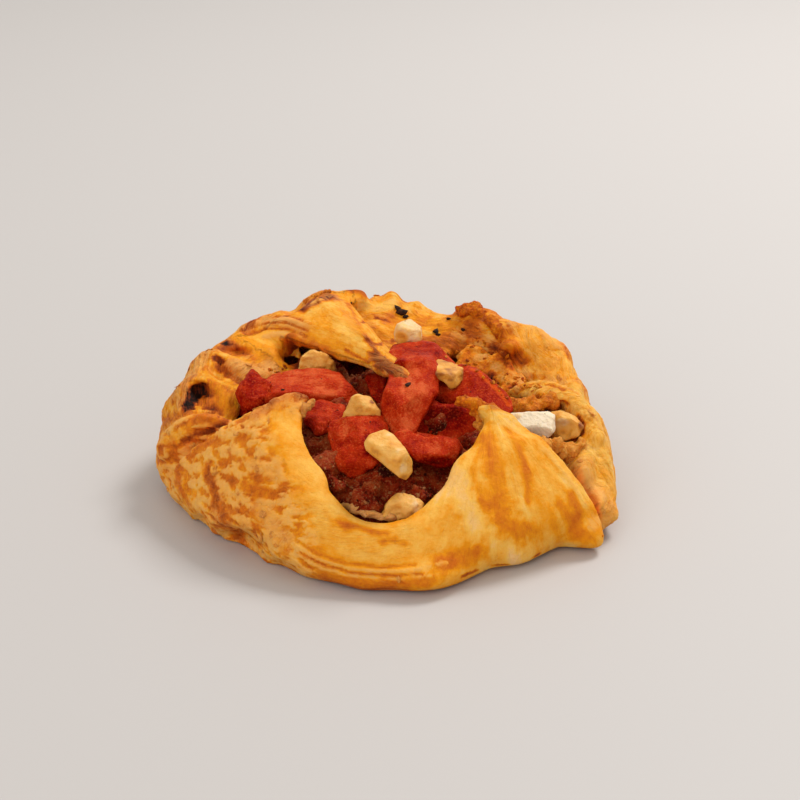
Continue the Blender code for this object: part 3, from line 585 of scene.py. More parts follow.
def closed_copy(name, node):
    """A copy of a construction solid, with its loose triangles merged into one closed mesh."""
    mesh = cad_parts[node].data.copy()
    mesh.materials.clear()
    copy = bpy.data.objects.new(name, mesh)
    bpy.context.scene.collection.objects.link(copy)
    only(copy)
    bpy.ops.object.mode_set(mode="EDIT")
    bpy.ops.mesh.select_all(action="SELECT")
    bpy.ops.mesh.remove_doubles(threshold=1e-6)
    bpy.ops.object.mode_set(mode="OBJECT")
    return copy


def refine(piece, detail, soften):
    """Gives a closed mesh an even fine grid of points, and softens its edges."""
    grid = piece.modifiers.new("grid", "REMESH")
    grid.mode = "VOXEL"
    grid.voxel_size = detail
    even = piece.modifiers.new("even", "SMOOTH")
    even.iterations = soften
    apply_all(piece)


def tree_of(*things):
    """A search tree of the meshes' faces, in millimetres."""
    points, faces = [], []
    for thing in things:
        start = len(points)
        points += [vertex.co / MM for vertex in thing.data.vertices]
        faces += [[start + index for index in face.vertices] for face in thing.data.polygons]
    return BVHTree.FromPolygons(points, faces)


def finish(piece, slot, *nodes):
    """Hands the piece to the frame: shades it smooth, hangs it on what it rides on, and hides the solids that
    it stands for. The slot is not used.
    """
    piece.data.polygons.foreach_set("use_smooth", [True] * len(piece.data.polygons))
    piece.data.update()
    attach(piece, BODY)
    if nodes:
        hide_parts(*nodes)


# ---------------------------------------------------------------- what the camera sees


def sight_line(pixel):
    """The camera's place and the direction in which it sees a pixel."""
    across, down = pixel[0] - PICTURE / 2, pixel[1] - PICTURE / 2
    return Vector(CAMERA_PLACE), Vector(AHEAD + RIGHT * across / FOCAL - UP * down / FOCAL).normalized()


def seen_at(tree, pixel):
    """The place and the normal of the surface at a pixel. Past the outline, the surface nearest to it."""
    eye, ahead = sight_line(pixel)
    place, normal, _, _ = tree.ray_cast(eye, ahead)
    if place is None:
        middle = (-eye).dot(ahead)
        found = [tree.find_nearest(eye + ahead * (middle + step)) for step in range(-70, 71, 5)]
        place, normal, _, _ = min(found, key=lambda near: near[3])
    return np.array(place), np.array(normal)


def at_depth(place):
    """The place on a pixel's line of sight that has the given y in millimetres."""
    eye, ahead = sight_line(place)
    return eye + ahead * ((place[2] - eye.y) / ahead.y)


def pixel_at(place):
    """The size in millimetres that one pixel spans at a place."""
    return (place - CAMERA_PLACE) @ AHEAD / FOCAL


def share_near(points, anchor, half):
    """1 at the anchor, down to 0 at so many pixels to the side and up, and as far to the back."""
    away = (points - anchor) / pixel_at(anchor)
    across, up, back = away @ RIGHT / half[0], away @ UP / half[1], away @ AHEAD / (1.4 * max(half))
    return ease(1.0, 0.0, np.sqrt(across**2 + up**2 + back**2))


def nudge(piece, changes):
    """Makes a piece's nudges, each at the place that its pixel shows."""
    tree = tree_of(piece)
    points, normals = points_of(piece)
    for change in changes.values():
        anchor, _ = seen_at(tree, change.pixel)
        share = share_near(points, anchor, change.half)
        if not change.whole:
            share = share * ease(0.1, -0.2, normals @ AHEAD)
        across, down, back = change.move
        points = points + share[:, None] * ((RIGHT * across - UP * down) * pixel_at(anchor) + AHEAD * back)
    points[:, 2] = np.maximum(points[:, 2], 0.0)
    set_points(piece, points)


def fit_outline(points, part):
    """Moves and scales a part to cover its outline in the picture, and trims it to the outline's sides."""
    away = points - CAMERA_PLACE
    pixels = np.stack((away @ RIGHT, -away @ UP), axis=1) / (away @ AHEAD)[:, None] * FOCAL + PICTURE / 2
    low, high = pixels.min(0), pixels.max(0)
    outline = np.array(part.outline, float)
    across, down = (outline.min(0) + outline.max(0) - low - high) / 2
    # A fifth larger than the outline, so that it reaches each of its sides.
    scale = 1.2 * (np.ptp(outline, axis=0) / (high - low)).max()
    middle = points.mean(0)
    shift = (RIGHT * across - UP * down) * pixel_at(middle) + AHEAD * part.back
    points = (points - middle) * scale + middle + shift
    lines = [np.array(sight_line(pixel)[1]) for pixel in part.outline]
    inside = np.array(sight_line(outline.mean(0))[1])
    for one, other in zip(lines, lines[1:] + lines[:1]):
        side = np.cross(one, other)
        side = -side * np.sign(side @ inside) / np.linalg.norm(side)
        points = points - np.maximum((points - CAMERA_PLACE) @ side, 0)[:, None] * side
    return points


def cut(piece, cuts):
    """Makes a piece's cuts: whatever stands out past a flat face comes back onto it."""
    tree = tree_of(piece)
    points, _ = points_of(piece)
    for pixel, turn, lean, depth in cuts:
        turn, lean = math.radians(turn), math.radians(lean)
        side = math.cos(lean) * (math.cos(turn) * RIGHT + math.sin(turn) * UP) - math.sin(lean) * AHEAD
        past = (points - seen_at(tree, pixel)[0]) @ side + depth
        points = points - np.maximum(past, 0)[:, None] * side
    set_points(piece, points)


# ---------------------------------------------------------------- patterns


def hollow_share(tree, points, normals):
    """How shut in each place is: the share of its directions in which something lies within reach."""
    slants = [(0.0, 0.0)]
    slants += [(HOLLOW_LEAN * math.cos(turn), HOLLOW_LEAN * math.sin(turn)) for turn in HOLLOW_TURNS]
    shares = []
    for point, normal in zip(points.tolist(), normals.tolist()):
        normal = Vector(normal)
        side = normal.orthogonal().normalized()
        other = normal.cross(side)
        start = Vector(point) + 0.4 * normal
        shut = 0
        for across, up in slants:
            outward = (normal + across * side + up * other).normalized()
            shut += tree.ray_cast(start, outward, HOLLOW_REACH)[0] is not None
        shares.append(shut / len(slants))
    return np.array(shares)


def ease(low, high, values):
    """0 below low, 1 above high, and an even rise between them. Low may be the greater one."""
    share = np.clip((values - low) / (high - low), 0, 1)
    return share * share * (3 - 2 * share)


def wave(points, size, seed, octaves=1):
    """Smooth noise at each place, about from -1 to 1, with bumps of that size in millimetres."""
    moved = points / np.asarray(size, float) + seed * np.array((17.3, 9.1, 5.7))
    if octaves == 1:
        return np.array([noise.noise(place) for place in moved.tolist()])
    return np.array([noise.fractal(place, 0.9, 2.1, octaves) for place in moved.tolist()])


def cells(places, seed):
    """How far each place lies from the border of its cell, and a random tone of the cell."""
    found = [noise.voronoi(place) for place in (places + seed * 7.3).tolist()]
    border = np.array([reach[1] - reach[0] for reach, _ in found])
    centre = np.array([near[0] for _, near in found])
    tone = np.sin(centre @ (12.99, 78.23, 37.72)) * 4375.85
    return border, tone - np.floor(tone)


def distance_to(points, line):
    """How far each place is from a line of straight stretches."""
    best = np.full(len(points), 1e9)
    for start, end in zip(line[:-1], line[1:]):
        run = end - start
        share = np.clip((points - start) @ run / max(run @ run, 1e-9), 0, 1)
        best = np.minimum(best, np.linalg.norm(points - start - share[:, None] * run, axis=1))
    return best


# ---------------------------------------------------------------- materials


def scale_of(millimetres):
    """The scale of a pattern whose bumps are that wide, for places in metres."""
    return 1 / (millimetres * MM)


def connect(tree, node, links):
    """Gives each of a node's inputs, by name or number, a value, an output or a node's first output."""
    for name, value in links.items():
        if isinstance(value, bpy.types.Node):
            value = value.outputs[0]
        if isinstance(value, bpy.types.NodeSocket):
            tree.links.new(value, node.inputs[name])
        else:
            node.inputs[name].default_value = value


def add(tree, kind, links=None, stops=(), **settings):
    """Adds a node, with its settings and the stops of its colour ramp, and connects its inputs."""
    node = tree.nodes.new("ShaderNode" + kind)
    for name, value in settings.items():
        setattr(node, name, value)
    connect(tree, node, links or {})
    for number, (place, shade) in enumerate(stops):
        elements = node.color_ramp.elements
        element = elements[number] if number < len(elements) else elements.new(place)
        element.position = place
        element.color = shade
    return node


def new_material(name):
    """An empty material with a Principled shader, its tree and the shader."""
    material = bpy.data.materials.new(name)
    material.use_nodes = True
    tree = material.node_tree
    tree.nodes.clear()
    shader = add(tree, "BsdfPrincipled")
    add(tree, "OutputMaterial", {"Surface": shader})
    return material, tree, shader


def baked_crust(settings):
    """Laminated dough, egg washed and baked: satin gold, brown at the layers' edges, dry on its flakes."""
    material, tree, shader = new_material("baked_crust")
    place = add(tree, "TexCoord").outputs["Object"]
    bake, flake, rough, hollow = (
        add(tree, "Attribute", attribute_name=name).outputs["Fac"]
        for name in ("bake", "flake", "rough", "hollow")
    )
    stroke = add(tree, "Attribute", attribute_name="stroke").outputs["Vector"]
    # Patches about 5 mm wide where the oven browned it unevenly, and a mottle of blisters about 2 mm wide.
    patches, mottle = (
        add(tree, "TexNoise", {"Vector": place, "Scale": scale, "Detail": detail, "Roughness": uneven})
        for scale, detail, uneven in ((scale_of(4.762), 3.0, 0.55), (scale_of(1.786), 5.0, 0.72))
    )
    # Fibres run along the strokes. Where their noise crosses its middle, the crust is cracked.
    fibres = {"Vector": stroke, "Scale": 1.0, "Detail": 4.0, "Roughness": 0.6, "Distortion": 0.6}
    fibres = add(tree, "TexNoise", fibres)
    off = add(tree, "Math", {0: fibres, 1: 0.5}, operation="SUBTRACT")
    size = add(tree, "Math", {0: off}, operation="ABSOLUTE")
    crack = add(tree, "MapRange", {"Value": size, 1: 0.0, 2: 0.03, 3: 1.0, 4: 0.0})
    # Thin sheets lie over one another: each is browner at its lower edge and paler at its crest.
    sheets = add(tree, "TexNoise", {"Vector": stroke, "Scale": 0.5, "Detail": 3.5, "Roughness": 0.55})
    sheets = add(tree, "Math", {0: sheets, 1: 6.0}, operation="MULTIPLY")
    sheet = add(tree, "Math", {0: sheets}, operation="FRACT")
    below = add(tree, "MapRange", {"Value": sheet, 1: 0.0, 2: 0.22, 3: 0.15, 4: 0.0})
    crest = add(tree, "MapRange", {"Value": sheet, 1: 0.6, 2: 0.95, 3: 0.0, 4: 0.1})
    layered = add(tree, "Math", {0: below, 1: crest}, operation="SUBTRACT")
    lines = add(tree, "Math", {0: crack, 1: 0.06, 2: off}, operation="MULTIPLY_ADD")
    lines = add(tree, "Math", {0: layered, 1: lines}, operation="ADD")

    shade = bake
    for part, weight in ((lines, rough), (mottle, 0.34), (patches, 0.3)):
        shade = add(tree, "Math", {0: part, 1: weight, 2: shade}, operation="MULTIPLY_ADD")
    shade = add(tree, "Math", {0: shade, 1: 0.32}, operation="SUBTRACT", use_clamp=True)
    bakes = (settings.raw, settings.pale, settings.gold, settings.orange, settings.brown, settings.burnt)
    crust = add(tree, "ValToRGB", {"Fac": shade}, zip((0.0, 0.2, 0.42, 0.62, 0.82, 0.97), bakes))
    dry = flake
    for part, weight in ((mottle, 0.6), (sheet, 0.3)):
        dry = add(tree, "Math", {0: part, 1: weight, 2: dry}, operation="MULTIPLY_ADD")
    share = add(tree, "MapRange", {"Value": dry, 1: 0.6, 2: 1.25, 3: 0.0, 4: 0.85})
    mix = add(tree, "Mix", {"Factor": share, 6: crust, 7: settings.dry}, data_type="RGBA")
    # Painted shade: the more shut in a place is, the more its colour is multiplied towards a deep orange, for
    # light that comes back out of a hollow having taken on the dough's colour.
    hollow_shade = add(
        tree,
        "Mix",
        {"Factor": hollow, 6: mix.outputs[2], 7: (1.0, 0.54, 0.26, 1.0)},
        data_type="RGBA",
        blend_type="MULTIPLY",
    )
    gloss = add(tree, "MapRange", {"Value": mottle, 1: 0.3, 2: 0.7, 3: 0.4, 4: 0.62})

    relief = add(tree, "Math", {0: off, 1: rough}, operation="MULTIPLY")
    for part, weight in ((crack, -0.12), (sheet, 0.3)):
        part = add(tree, "Math", {0: part, 1: rough}, operation="MULTIPLY")
        relief = add(tree, "Math", {0: part, 1: weight, 2: relief}, operation="MULTIPLY_ADD")
    relief = add(tree, "Math", {0: mottle, 1: 0.4, 2: relief}, operation="MULTIPLY_ADD")
    bump = add(tree, "Bump", {"Height": relief, "Strength": 1.0, "Distance": 1.3 * MM})
    connect(tree, shader, {
        "Base Color": hollow_shade.outputs[2],
        "Roughness": gloss,
        "Normal": bump,
        "IOR": 1.45,
        "Specular IOR Level": 0.1,
        "Subsurface Weight": 0.16,
        "Subsurface Radius": (1.0, 0.45, 0.1),
        "Subsurface Scale": 1.2 * MM,
    })
    return material


def minced_meat(settings):
    """Minced meat cooked in tomato: grainy, moist and dark, with paler grains of meat and painted glints."""
    material, tree, shader = new_material("minced_meat")
    place = add(tree, "TexCoord").outputs["Object"]
    share = add(tree, "Attribute", attribute_name="tint").outputs["Fac"]
    # Grains under 1 mm wide, patches of more or less juice about 4 mm wide, and specks of half a millimetre.
    grit, patch, fine = (
        add(tree, "TexNoise", {"Vector": place, "Scale": scale, "Detail": detail, "Roughness": uneven})
        for scale, detail, uneven in (
            (scale_of(0.769), 4.0, 0.75), (scale_of(3.846), 2.0, 0.5), (scale_of(0.4348), 1.0, 0.5)
        )
    )
    for part, weight in ((grit, 1.1), (patch, 0.7)):
        share = add(tree, "Math", {0: part, 1: weight, 2: share}, operation="MULTIPLY_ADD")
    share = add(tree, "Math", {0: share, 1: 0.9}, operation="SUBTRACT", use_clamp=True)
    tones = (colour("#3C0A02"), settings.dark, settings.middle, settings.light)
    shades = add(tree, "ValToRGB", {"Fac": share}, zip((0.0, 0.3, 0.6, 0.95), tones))
    # Painted glints: fine pale specks take the colour of meat that the light catches.
    speck = add(tree, "MapRange", {"Value": fine, 1: 0.56, 2: 0.72, 3: 0.0, 4: 0.7})
    mix = add(tree, "Mix", {"Factor": speck, 6: shades, 7: settings.light}, data_type="RGBA")
    connect(tree, shader, {
        "Base Color": mix.outputs[2],
        "Roughness": 0.42,
        "Normal": add(tree, "Bump", {"Height": grit, "Strength": 1.0, "Distance": 0.8 * MM}),
        "Specular IOR Level": 0.06,
        "Subsurface Weight": 0.1,
        "Subsurface Radius": (1.0, 0.25, 0.1),
        "Subsurface Scale": 1.2 * MM,
    })
    return material


def cooked_tomato(settings):
    """Tomato softened in the oven: moist flesh that lets light in, paler where dry, deep red in hollows,
    partly as painted shade, and flecked with painted glints.
    """
    material, tree, shader = new_material("cooked_tomato")
    place = add(tree, "TexCoord").outputs["Object"]
    share = add(tree, "Attribute", attribute_name="tone").outputs["Fac"]
    skin = add(tree, "Attribute", attribute_name="skin").outputs["Fac"]
    stroke = add(tree, "Attribute", attribute_name="stroke").outputs["Vector"]
    # Pulp in lumps about 3 mm wide, with a grain of half a millimetre on its surface.
    pulp, grain = (
        add(tree, "TexNoise", {"Vector": place, "Scale": scale, "Detail": detail, "Roughness": 0.6})
        for scale, detail in ((scale_of(3.125), 4.0), (scale_of(0.4545), 2.0))
    )
    fibres = add(tree, "TexNoise", {"Vector": stroke, "Scale": 1.0, "Detail": 3.0, "Roughness": 0.6})
    for part, weight in ((pulp, 1.1), (fibres, 0.6), (grain, -0.6)):
        share = add(tree, "Math", {0: part, 1: weight, 2: share}, operation="MULTIPLY_ADD")
    share = add(tree, "Math", {0: share, 1: 0.57}, operation="SUBTRACT", use_clamp=True)
    tones = (settings.light, settings.flesh, settings.deep, colour("#5C0600"))
    shades = add(tree, "ValToRGB", {"Fac": share}, zip((0.0, 0.33, 0.75, 1.0), tones))
    mix = add(tree, "Mix", {"Factor": skin, 6: shades, 7: settings.skin}, data_type="RGBA")
    # Painted glints: pale specks on the grain stand in for tiny highlights on the moist flesh.
    speck = add(tree, "MapRange", {"Value": grain, 1: 0.56, 2: 0.74, 3: 0.0, 4: 0.45})
    mix = add(tree, "Mix", {"Factor": speck, 6: mix.outputs[2], 7: colour("#DC6430")}, data_type="RGBA")
    bump = add(tree, "Bump", {"Height": fibres, "Strength": 0.3, "Distance": 0.3 * MM})
    bump = add(tree, "Bump", {"Height": grain, "Strength": 1.0, "Distance": 0.4 * MM, "Normal": bump})
    connect(tree, shader, {
        "Base Color": mix.outputs[2],
        "Roughness": 0.4,
        "Normal": bump,
        "IOR": 1.36,
        "Specular IOR Level": 0.06,
        "Subsurface Weight": 0.25,
        "Subsurface Radius": (1.0, 0.15, 0.05),
        "Subsurface Scale": 1.6 * MM,
    })
    return material


def toasted_cheese(settings):
    """White brined cheese: crumbly and matte, toasted golden where the heat reached it."""
    material, tree, shader = new_material("toasted_cheese")
    place = add(tree, "TexCoord").outputs["Object"]
    toast = add(tree, "Attribute", attribute_name="tone").outputs["Fac"]
    # Curds about 1.5 mm wide, and patches about 4 mm wide that toast sooner.
    curd, patch = (
        add(tree, "TexNoise", {"Vector": place, "Scale": scale, "Detail": detail, "Roughness": uneven})
        for scale, detail, uneven in ((scale_of(1.4286), 4.0, 0.6), (scale_of(3.571), 2.0, 0.5))
    )
    spread = add(tree, "Math", {0: curd, 1: 0.4, 2: patch}, operation="MULTIPLY_ADD")
    spread = add(tree, "Math", {0: spread, 1: 0.7}, operation="SUBTRACT")
    strength = add(tree, "Math", {0: toast, 1: 1.1, 2: 0.12}, operation="MULTIPLY_ADD")
    share = add(tree, "Math", {0: spread, 1: strength, 2: toast}, operation="MULTIPLY_ADD", use_clamp=True)
    tones = (settings.white, colour("#E6AE56"), settings.toasted, settings.brown)
    connect(tree, shader, {
        "Base Color": add(tree, "ValToRGB", {"Fac": share}, zip((0.0, 0.28, 0.55, 0.95), tones)),
        "Roughness": 0.55,
        "Normal": add(tree, "Bump", {"Height": curd, "Strength": 0.9, "Distance": 0.7 * MM}),
        "Specular IOR Level": 0.35,
        "Subsurface Weight": 0.2,
        "Subsurface Radius": (1.0, 0.7, 0.4),
        "Subsurface Scale": 1.0 * MM,
    })
    return material


def burnt_crumb(settings):
    """Charred bits of cheese and pepper: black, dull and rough."""
    material, tree, shader = new_material("burnt_crumb")
    place = add(tree, "TexCoord").outputs["Object"]
    soot = add(tree, "TexNoise", {"Vector": place, "Scale": scale_of(0.7143), "Detail": 3.0})
    tones = (settings.burnt, colour("#4A2A1C"))
    connect(tree, shader, {
        "Base Color": add(tree, "ValToRGB", {"Fac": soot}, zip((0.35, 0.75), tones)),
        "Roughness": 0.8,
        "Normal": add(tree, "Bump", {"Height": soot, "Strength": 0.7, "Distance": 0.2 * MM}),
        "Specular IOR Level": 0.15,
    })
    return material


# ---------------------------------------------------------------- crust


def inside_corners(points, corners):
    """How far inside a triangle, seen from above, each place lies. Outside it is below 0."""
    inside = np.full(len(points), 1e9)
    middle = np.mean(corners, axis=0)
    for start, end in zip(corners, corners[1:] + corners[:1]):
        run = np.subtract(end, start) / math.dist(start, end)
        side = np.array((-run[1], run[0]))
        if (middle - start) @ side < 0:
            side = -side
        inside = np.minimum(inside, (points[:, :2] - start) @ side)
    return inside


def fan(points, tip, down, spread, along):
    """Stroke coordinates of a flap whose fibres fan out of its tip."""
    away = points - tip
    reach = np.linalg.norm(away, axis=1)
    side = np.cross(down, (0, 0, 1))
    side = side / np.linalg.norm(side)
    turn = np.arctan2(away @ side, away @ np.asarray(down))
    return np.stack((reach / along, turn * spread, np.zeros(len(points))), axis=1)


def crust_zones(points, normals):
    """How far inside the rim each place is, and how much it belongs to each of the six zones of the dough."""
    x, y, z = points.T
    radius = np.maximum(np.hypot(x, y), 1.0)
    outward = (normals[:, 0] * x + normals[:, 1] * y) / radius
    facing = ease(-0.35, 0.1, np.maximum(outward, normals[:, 2]))
    inner = np.maximum(ease(0.0, -0.45, outward), 0.9 * ease(49, 43, radius)) * ease(20, 0, x)
    front = ease(-0.8, 0.8, np.interp(x, FRONT_EDGE_X, FRONT_EDGE_Y) - y) * facing
    opening = distance_to(points, np.array(OPENING, float))
    left = front * ease(-12.5, -17.5, x + 2.5 * wave(points, 5, 1))
    left = left * ease(5.5, 9.5, opening + 2.0 * wave(points, 4, 2))
    left = np.clip(left + front * ease(9, 4, np.linalg.norm(points - LEFT_TIP, axis=1)), 0, 1)
    right = front * ease(4, 12, x)
    band = np.clip(front - left - right, 0, 1)
    flap = ease(-1.0, 0.6, inside_corners(points, BACK_FLAP_CORNERS))
    flap = flap * ease(0.0, 0.3, normals[:, 2]) * ease(21, 23, z)
    curl = ease(20, 15, np.linalg.norm((points - CURL_MIDDLE) * (1, 1, 0.8), axis=1))
    curl = curl * (1 - front) * ease(24, 30, x)
    rim = np.clip(1 - front - flap - curl, 0, 1)
    return inner, rim, curl, band, left, right, flap


def crust_cells(points, zones, right_fan, settings):
    """The cells that the layers, fibres and flakes are split into.

    Gives how far each place is from its cell's border, its cell's tone, its stroke coordinates, and the
    share of the zone that it belongs to most.
    """
    rim, curl, band, left, right, flap = zones
    x, y, z = points.T
    radius = np.maximum(np.hypot(x, y), 1.0)
    none = np.zeros(len(points))
    # The layers run along the rim, around the curl and across the band. The fibres of a flap fan out.
    layer = settings.layer / MM
    warp = 1.2 * wave(points, (16, 16, 9), 3) + 0.4 * wave(points, 5, 4)
    across = 15 * np.arctan2(z - RIM_HEIGHT, radius - RIM_RADIUS) / layer + warp
    rings = np.linalg.norm((points - CURL_MIDDLE)[:, :2], axis=1) / layer
    rings = rings + 0.8 * wave(points, 8, 6) + 0.1 * z
    turn = np.arctan2(y - CURL_MIDDLE[1], x - CURL_MIDDLE[0])
    # Each zone with its places in cells, its seed and the stretch of its strokes.
    patterns = (
        (rim, np.stack((np.arctan2(-x, y) * 50 / 9, across, none), axis=1), 5, 1.0),
        (curl, np.stack((turn * 14 / 7, rings, none), axis=1), 6, 1.0),
        (band, np.stack((x / 14, 1.3 * across, none), axis=1), 7, 1.0),
        (left, points / (settings.flake / MM), 8, 2.2),
        (right, right_fan, 9, 1.0),
        (flap, fan(points, BACK_TIP, BACK_RUN, 9.0, 16.0), 10, 1.0),
    )
    border, tone, stroke, most = none + 0.5, none + 0.5, np.zeros((len(points), 3)), none.copy()
    for weight, places, seed, stretch in patterns:
        picked = weight > 0.02
        reach, shade = cells(places[picked], seed)
        border[picked] += weight[picked] * (reach - 0.5)
        tone[picked] += weight[picked] * (shade - 0.5)
        own = weight > most
        stroke[own] = places[own] * (2.0, 2.2, stretch) + seed * 3.7
        most = np.maximum(most, weight)
    return border, tone, stroke, most


def crust_fields(points, normals, settings):
    """What the dough is like at each place: its relief, how baked, flaky and rough it is, and its fibres."""
    x, _, z = points.T
    inner, *zones = crust_zones(points, normals)
    rim, curl, band, left, right, flap = zones
    right_fan = fan(points, RIGHT_TIP, RIGHT_RUN, 7.0, 22.0)
    border, tone, stroke, most = crust_cells(points, zones, right_fan, settings)
    groove = ease(0.16, 0.02, border + 0.10 * wave(points, 1.7, 11, 2))
    flake = settings.flake / MM
    flakes = wave(points, (0.9 * flake, 0.7 * flake, 0.34 * flake), 20, 3) + 0.15 * wave(points, 1.1, 21, 2)
    plates = ease(-0.28, 0.1, flakes)
    streaks = wave(right_fan, 0.7, 22, 3)

    lumps = 0.6 * wave(points, 9, 12) + 0.4 * wave(points, 4.5, 13) + 0.2 * wave(points, 2.2, 14, 2)
    relief = lumps * (0.3 + 0.7 * rim + 0.5 * curl + 0.2 * left)
    steps = settings.layer_depth / MM * ((tone - 0.5) * (1 - groove) - 0.4 * groove)
    relief += steps * (0.6 * rim * (1 - 0.6 * inner) + 0.7 * curl + 0.1 * band)
    relief += settings.flake_depth / MM * (plates - 0.5) * left
    relief += 0.12 * streaks * right + 0.3 * (tone - 0.5) * flap

    bake = 0.36 + 0.12 * wave(points, 12, 15, 2) + 0.12 * ease(0.4, 1.1, lumps)
    bake += rim * (0.08 + 0.18 * wave(points, 2.8, 18, 3))
    bake += rim * (1 - inner) * (0.16 * (tone - 0.5) + 0.07 * groove)
    bake += rim * inner * 0.2 * wave(points, (4, 4, 2.4), 24, 3)
    bake += curl * (-0.12 + 0.14 * (tone - 0.5) + 0.14 * groove + 0.1 * wave(points, 2.4, 19, 2))
    # Towards its foot the band browns: partly its own colour, partly painted shade under its curve.
    bake += band * (-0.01 + 0.10 * wave(points, (9, 9, 3), 23, 2) + 0.2 * ease(9, 2, z))
    bake += right * (-0.08 + 0.24 * streaks)
    bake += flap * (0.04 + 0.2 * (tone - 0.5))
    bake += left * (0.24 - 0.26 * plates + 0.1 * wave(points, 2, 16, 2))
    # Browner along the lowest millimetre or so of the foot, more so towards the right.
    bake += 0.3 * ease(1.4, 0.3, z + 0.5 * wave(points, 3, 17)) * ease(-10, 20, x)

    dry = rim * (0.3 + 0.35 * ease(0.55, 0.75, tone)) * (1 - groove) * (1 - 0.4 * inner)
    dry += left * (0.05 + 0.6 * plates)
    dry += curl * (0.2 + 0.3 * ease(0.5, 0.8, tone)) + flap * 0.3 * ease(0.6, 0.8, tone) + band * 0.05
    rough = (0.36 + 0.14 * ease(20, -10, x)) * rim + 0.5 * curl + 0.12 * band
    rough += 0.3 * left + 0.16 * right + 0.5 * flap
    rough = rough * ease(0.5, 0.8, most) * (1 - 0.4 * inner)
    return {"relief": relief, "bake": bake, "flake": dry, "rough": rough, "stroke": stroke}


def draw_marks(points, normals, fields, tree):
    """Lays the marks over the fields, each with a ragged edge, on what faces the camera."""
    ragged = wave(points, 2.0, 30, 3)
    facing = ease(0.5, 0.1, normals @ AHEAD)
    for mark in MARKS.values():
        line = np.array([seen_at(tree, pixel)[0] for pixel in mark.pixels])
        reach = 2.4 * mark.width
        near = ((points > line.min(0) - reach) & (points < line.max(0) + reach)).all(1)
        away = distance_to(points[near], line) / mark.width + (0.6 - 0.2 * mark.fade) * ragged[near]
        share = ease(1.0 + 0.6 * mark.fade, 1.0 - 0.9 * mark.fade, away) * facing[near]
        fields["bake"][near] += share * (mark.bake - fields["bake"][near]) * 0.92
        fields["flake"][near] += share * (mark.flake - fields["flake"][near])
        fields["relief"][near] += share * mark.relief


def thin_hidden(crust):
    """Thins out the underside and what lies under the filling, so that the mesh isn't too heavy."""
    points, normals = points_of(crust)
    x, y, z = points.T
    under = (z < 0.4) & (normals[:, 2] < -0.5)
    below = (np.hypot(x, y) < RIM_RADIUS) & (z < RIM_HEIGHT) & (y > OPENING_BACK_Y) & (normals[:, 2] > -0.2)
    hidden = crust.vertex_groups.new(name="hidden")
    hidden.add([int(index) for index in np.flatnonzero(under | below)], 1.0, "REPLACE")
    count = sum(len(face.vertices) - 2 for face in crust.data.polygons)
    share = (under | below).mean()
    thin = crust.modifiers.new("thin", "DECIMATE")
    thin.ratio = min(MOST_TRIANGLES / count, 1 - 0.93 * share)
    thin.vertex_group = "hidden"
    # Far above any point's own cost, so that only the hidden part is thinned.
    thin.vertex_group_factor = 1000
    apply_all(crust)
    crust.vertex_groups.clear()
    points, _ = points_of(crust)
    points[:, 2] = np.maximum(points[:, 2], 0.0)
    set_points(crust, points)


class DANISH_OT_crust(bpy.types.Operator):
    """Models the baked dough, with its layers, flakes, blisters and burns"""

    bl_idname = "danish.crust"
    bl_label = "Crust"

    def execute(self, context):
        settings = context.scene.danish_crust
        crust = closed_copy("crust", "pastry")
        rounder = crust.modifiers.new("rounder", "SUBSURF")
        rounder.levels = rounder.render_levels = 1
        refine(crust, settings.detail, 4)
        nudge(crust, CRUST_NUDGES)
        points, normals = points_of(crust)
        fields = crust_fields(points, normals, settings)
        tree = tree_of(crust)
        draw_marks(points, normals, fields, tree)
        # Painted shade: how shut in each place is, which the material turns into a deep orange tint.
        fields["hollow"] = hollow_share(tree, points, normals)
        relief = fields["relief"] * ease(0.1, 5.0, points[:, 2])
        points = points + normals * relief[:, None]
        points[:, 2] = np.maximum(points[:, 2], 0.0)
        set_points(crust, points)
        for name in ("bake", "flake", "rough", "hollow"):
            store(crust, name, np.clip(fields[name], 0, 1))
        store(crust, "stroke", fields["stroke"])
        thin_hidden(crust)
        crust.data.materials.append(baked_crust(settings))
        finish(crust, "baked_dough", "pastry")
        return {"FINISHED"}


# ---------------------------------------------------------------- filling


def scatter(name, shapes, places, seed):
    """One mesh of many small things. A place is a point, a normal, a size and how far it is flattened."""
    dice = random.Random(seed)
    points, faces, tints = [], [], []
    start = 0
    for point, normal, size, flat in places:
        corners, sides = dice.choice(shapes)
        spin = Matrix.Rotation(dice.uniform(0, math.tau), 3, "Z")
        tilt = Vector(normal).to_track_quat("Z", "Y").to_matrix()
        turn = np.array(tilt @ spin @ Matrix.Diagonal((1, 1, flat)))
        points.append((corners @ turn.T) * size + point)
        faces += [[start + index for index in side] for side in sides]
        tints.append(np.full(len(corners), dice.random()))
        start += len(corners)
    mesh = bpy.data.meshes.new(name)
    mesh.from_pydata((np.concatenate(points) * MM).tolist(), [], faces)
    thing = bpy.data.objects.new(name, mesh)
    bpy.context.scene.collection.objects.link(thing)
    store(thing, "tint", np.concatenate(tints))
    return thing


def lump_shapes(count, seed, unevenness, fineness=1):
    """The points and faces of a few uneven lumps, each modelled from a ball."""
    shapes = []
    for number in range(count):
        bpy.ops.object.select_all(action="DESELECT")
        bpy.ops.mesh.primitive_ico_sphere_add(subdivisions=fineness, radius=1.0)
        ball = bpy.context.object
        corners = np.array([vertex.co for vertex in ball.data.vertices])
        corners = corners * (1 + unevenness * wave(corners, 0.8, seed + number))[:, None]
        stretch = 1 + 0.35 * np.array([math.sin(seed + number * 2.1 + axis * 1.9) for axis in range(3)])
        shapes.append((corners * stretch, [tuple(face.vertices) for face in ball.data.polygons]))
        bpy.data.objects.remove(ball)
    return shapes


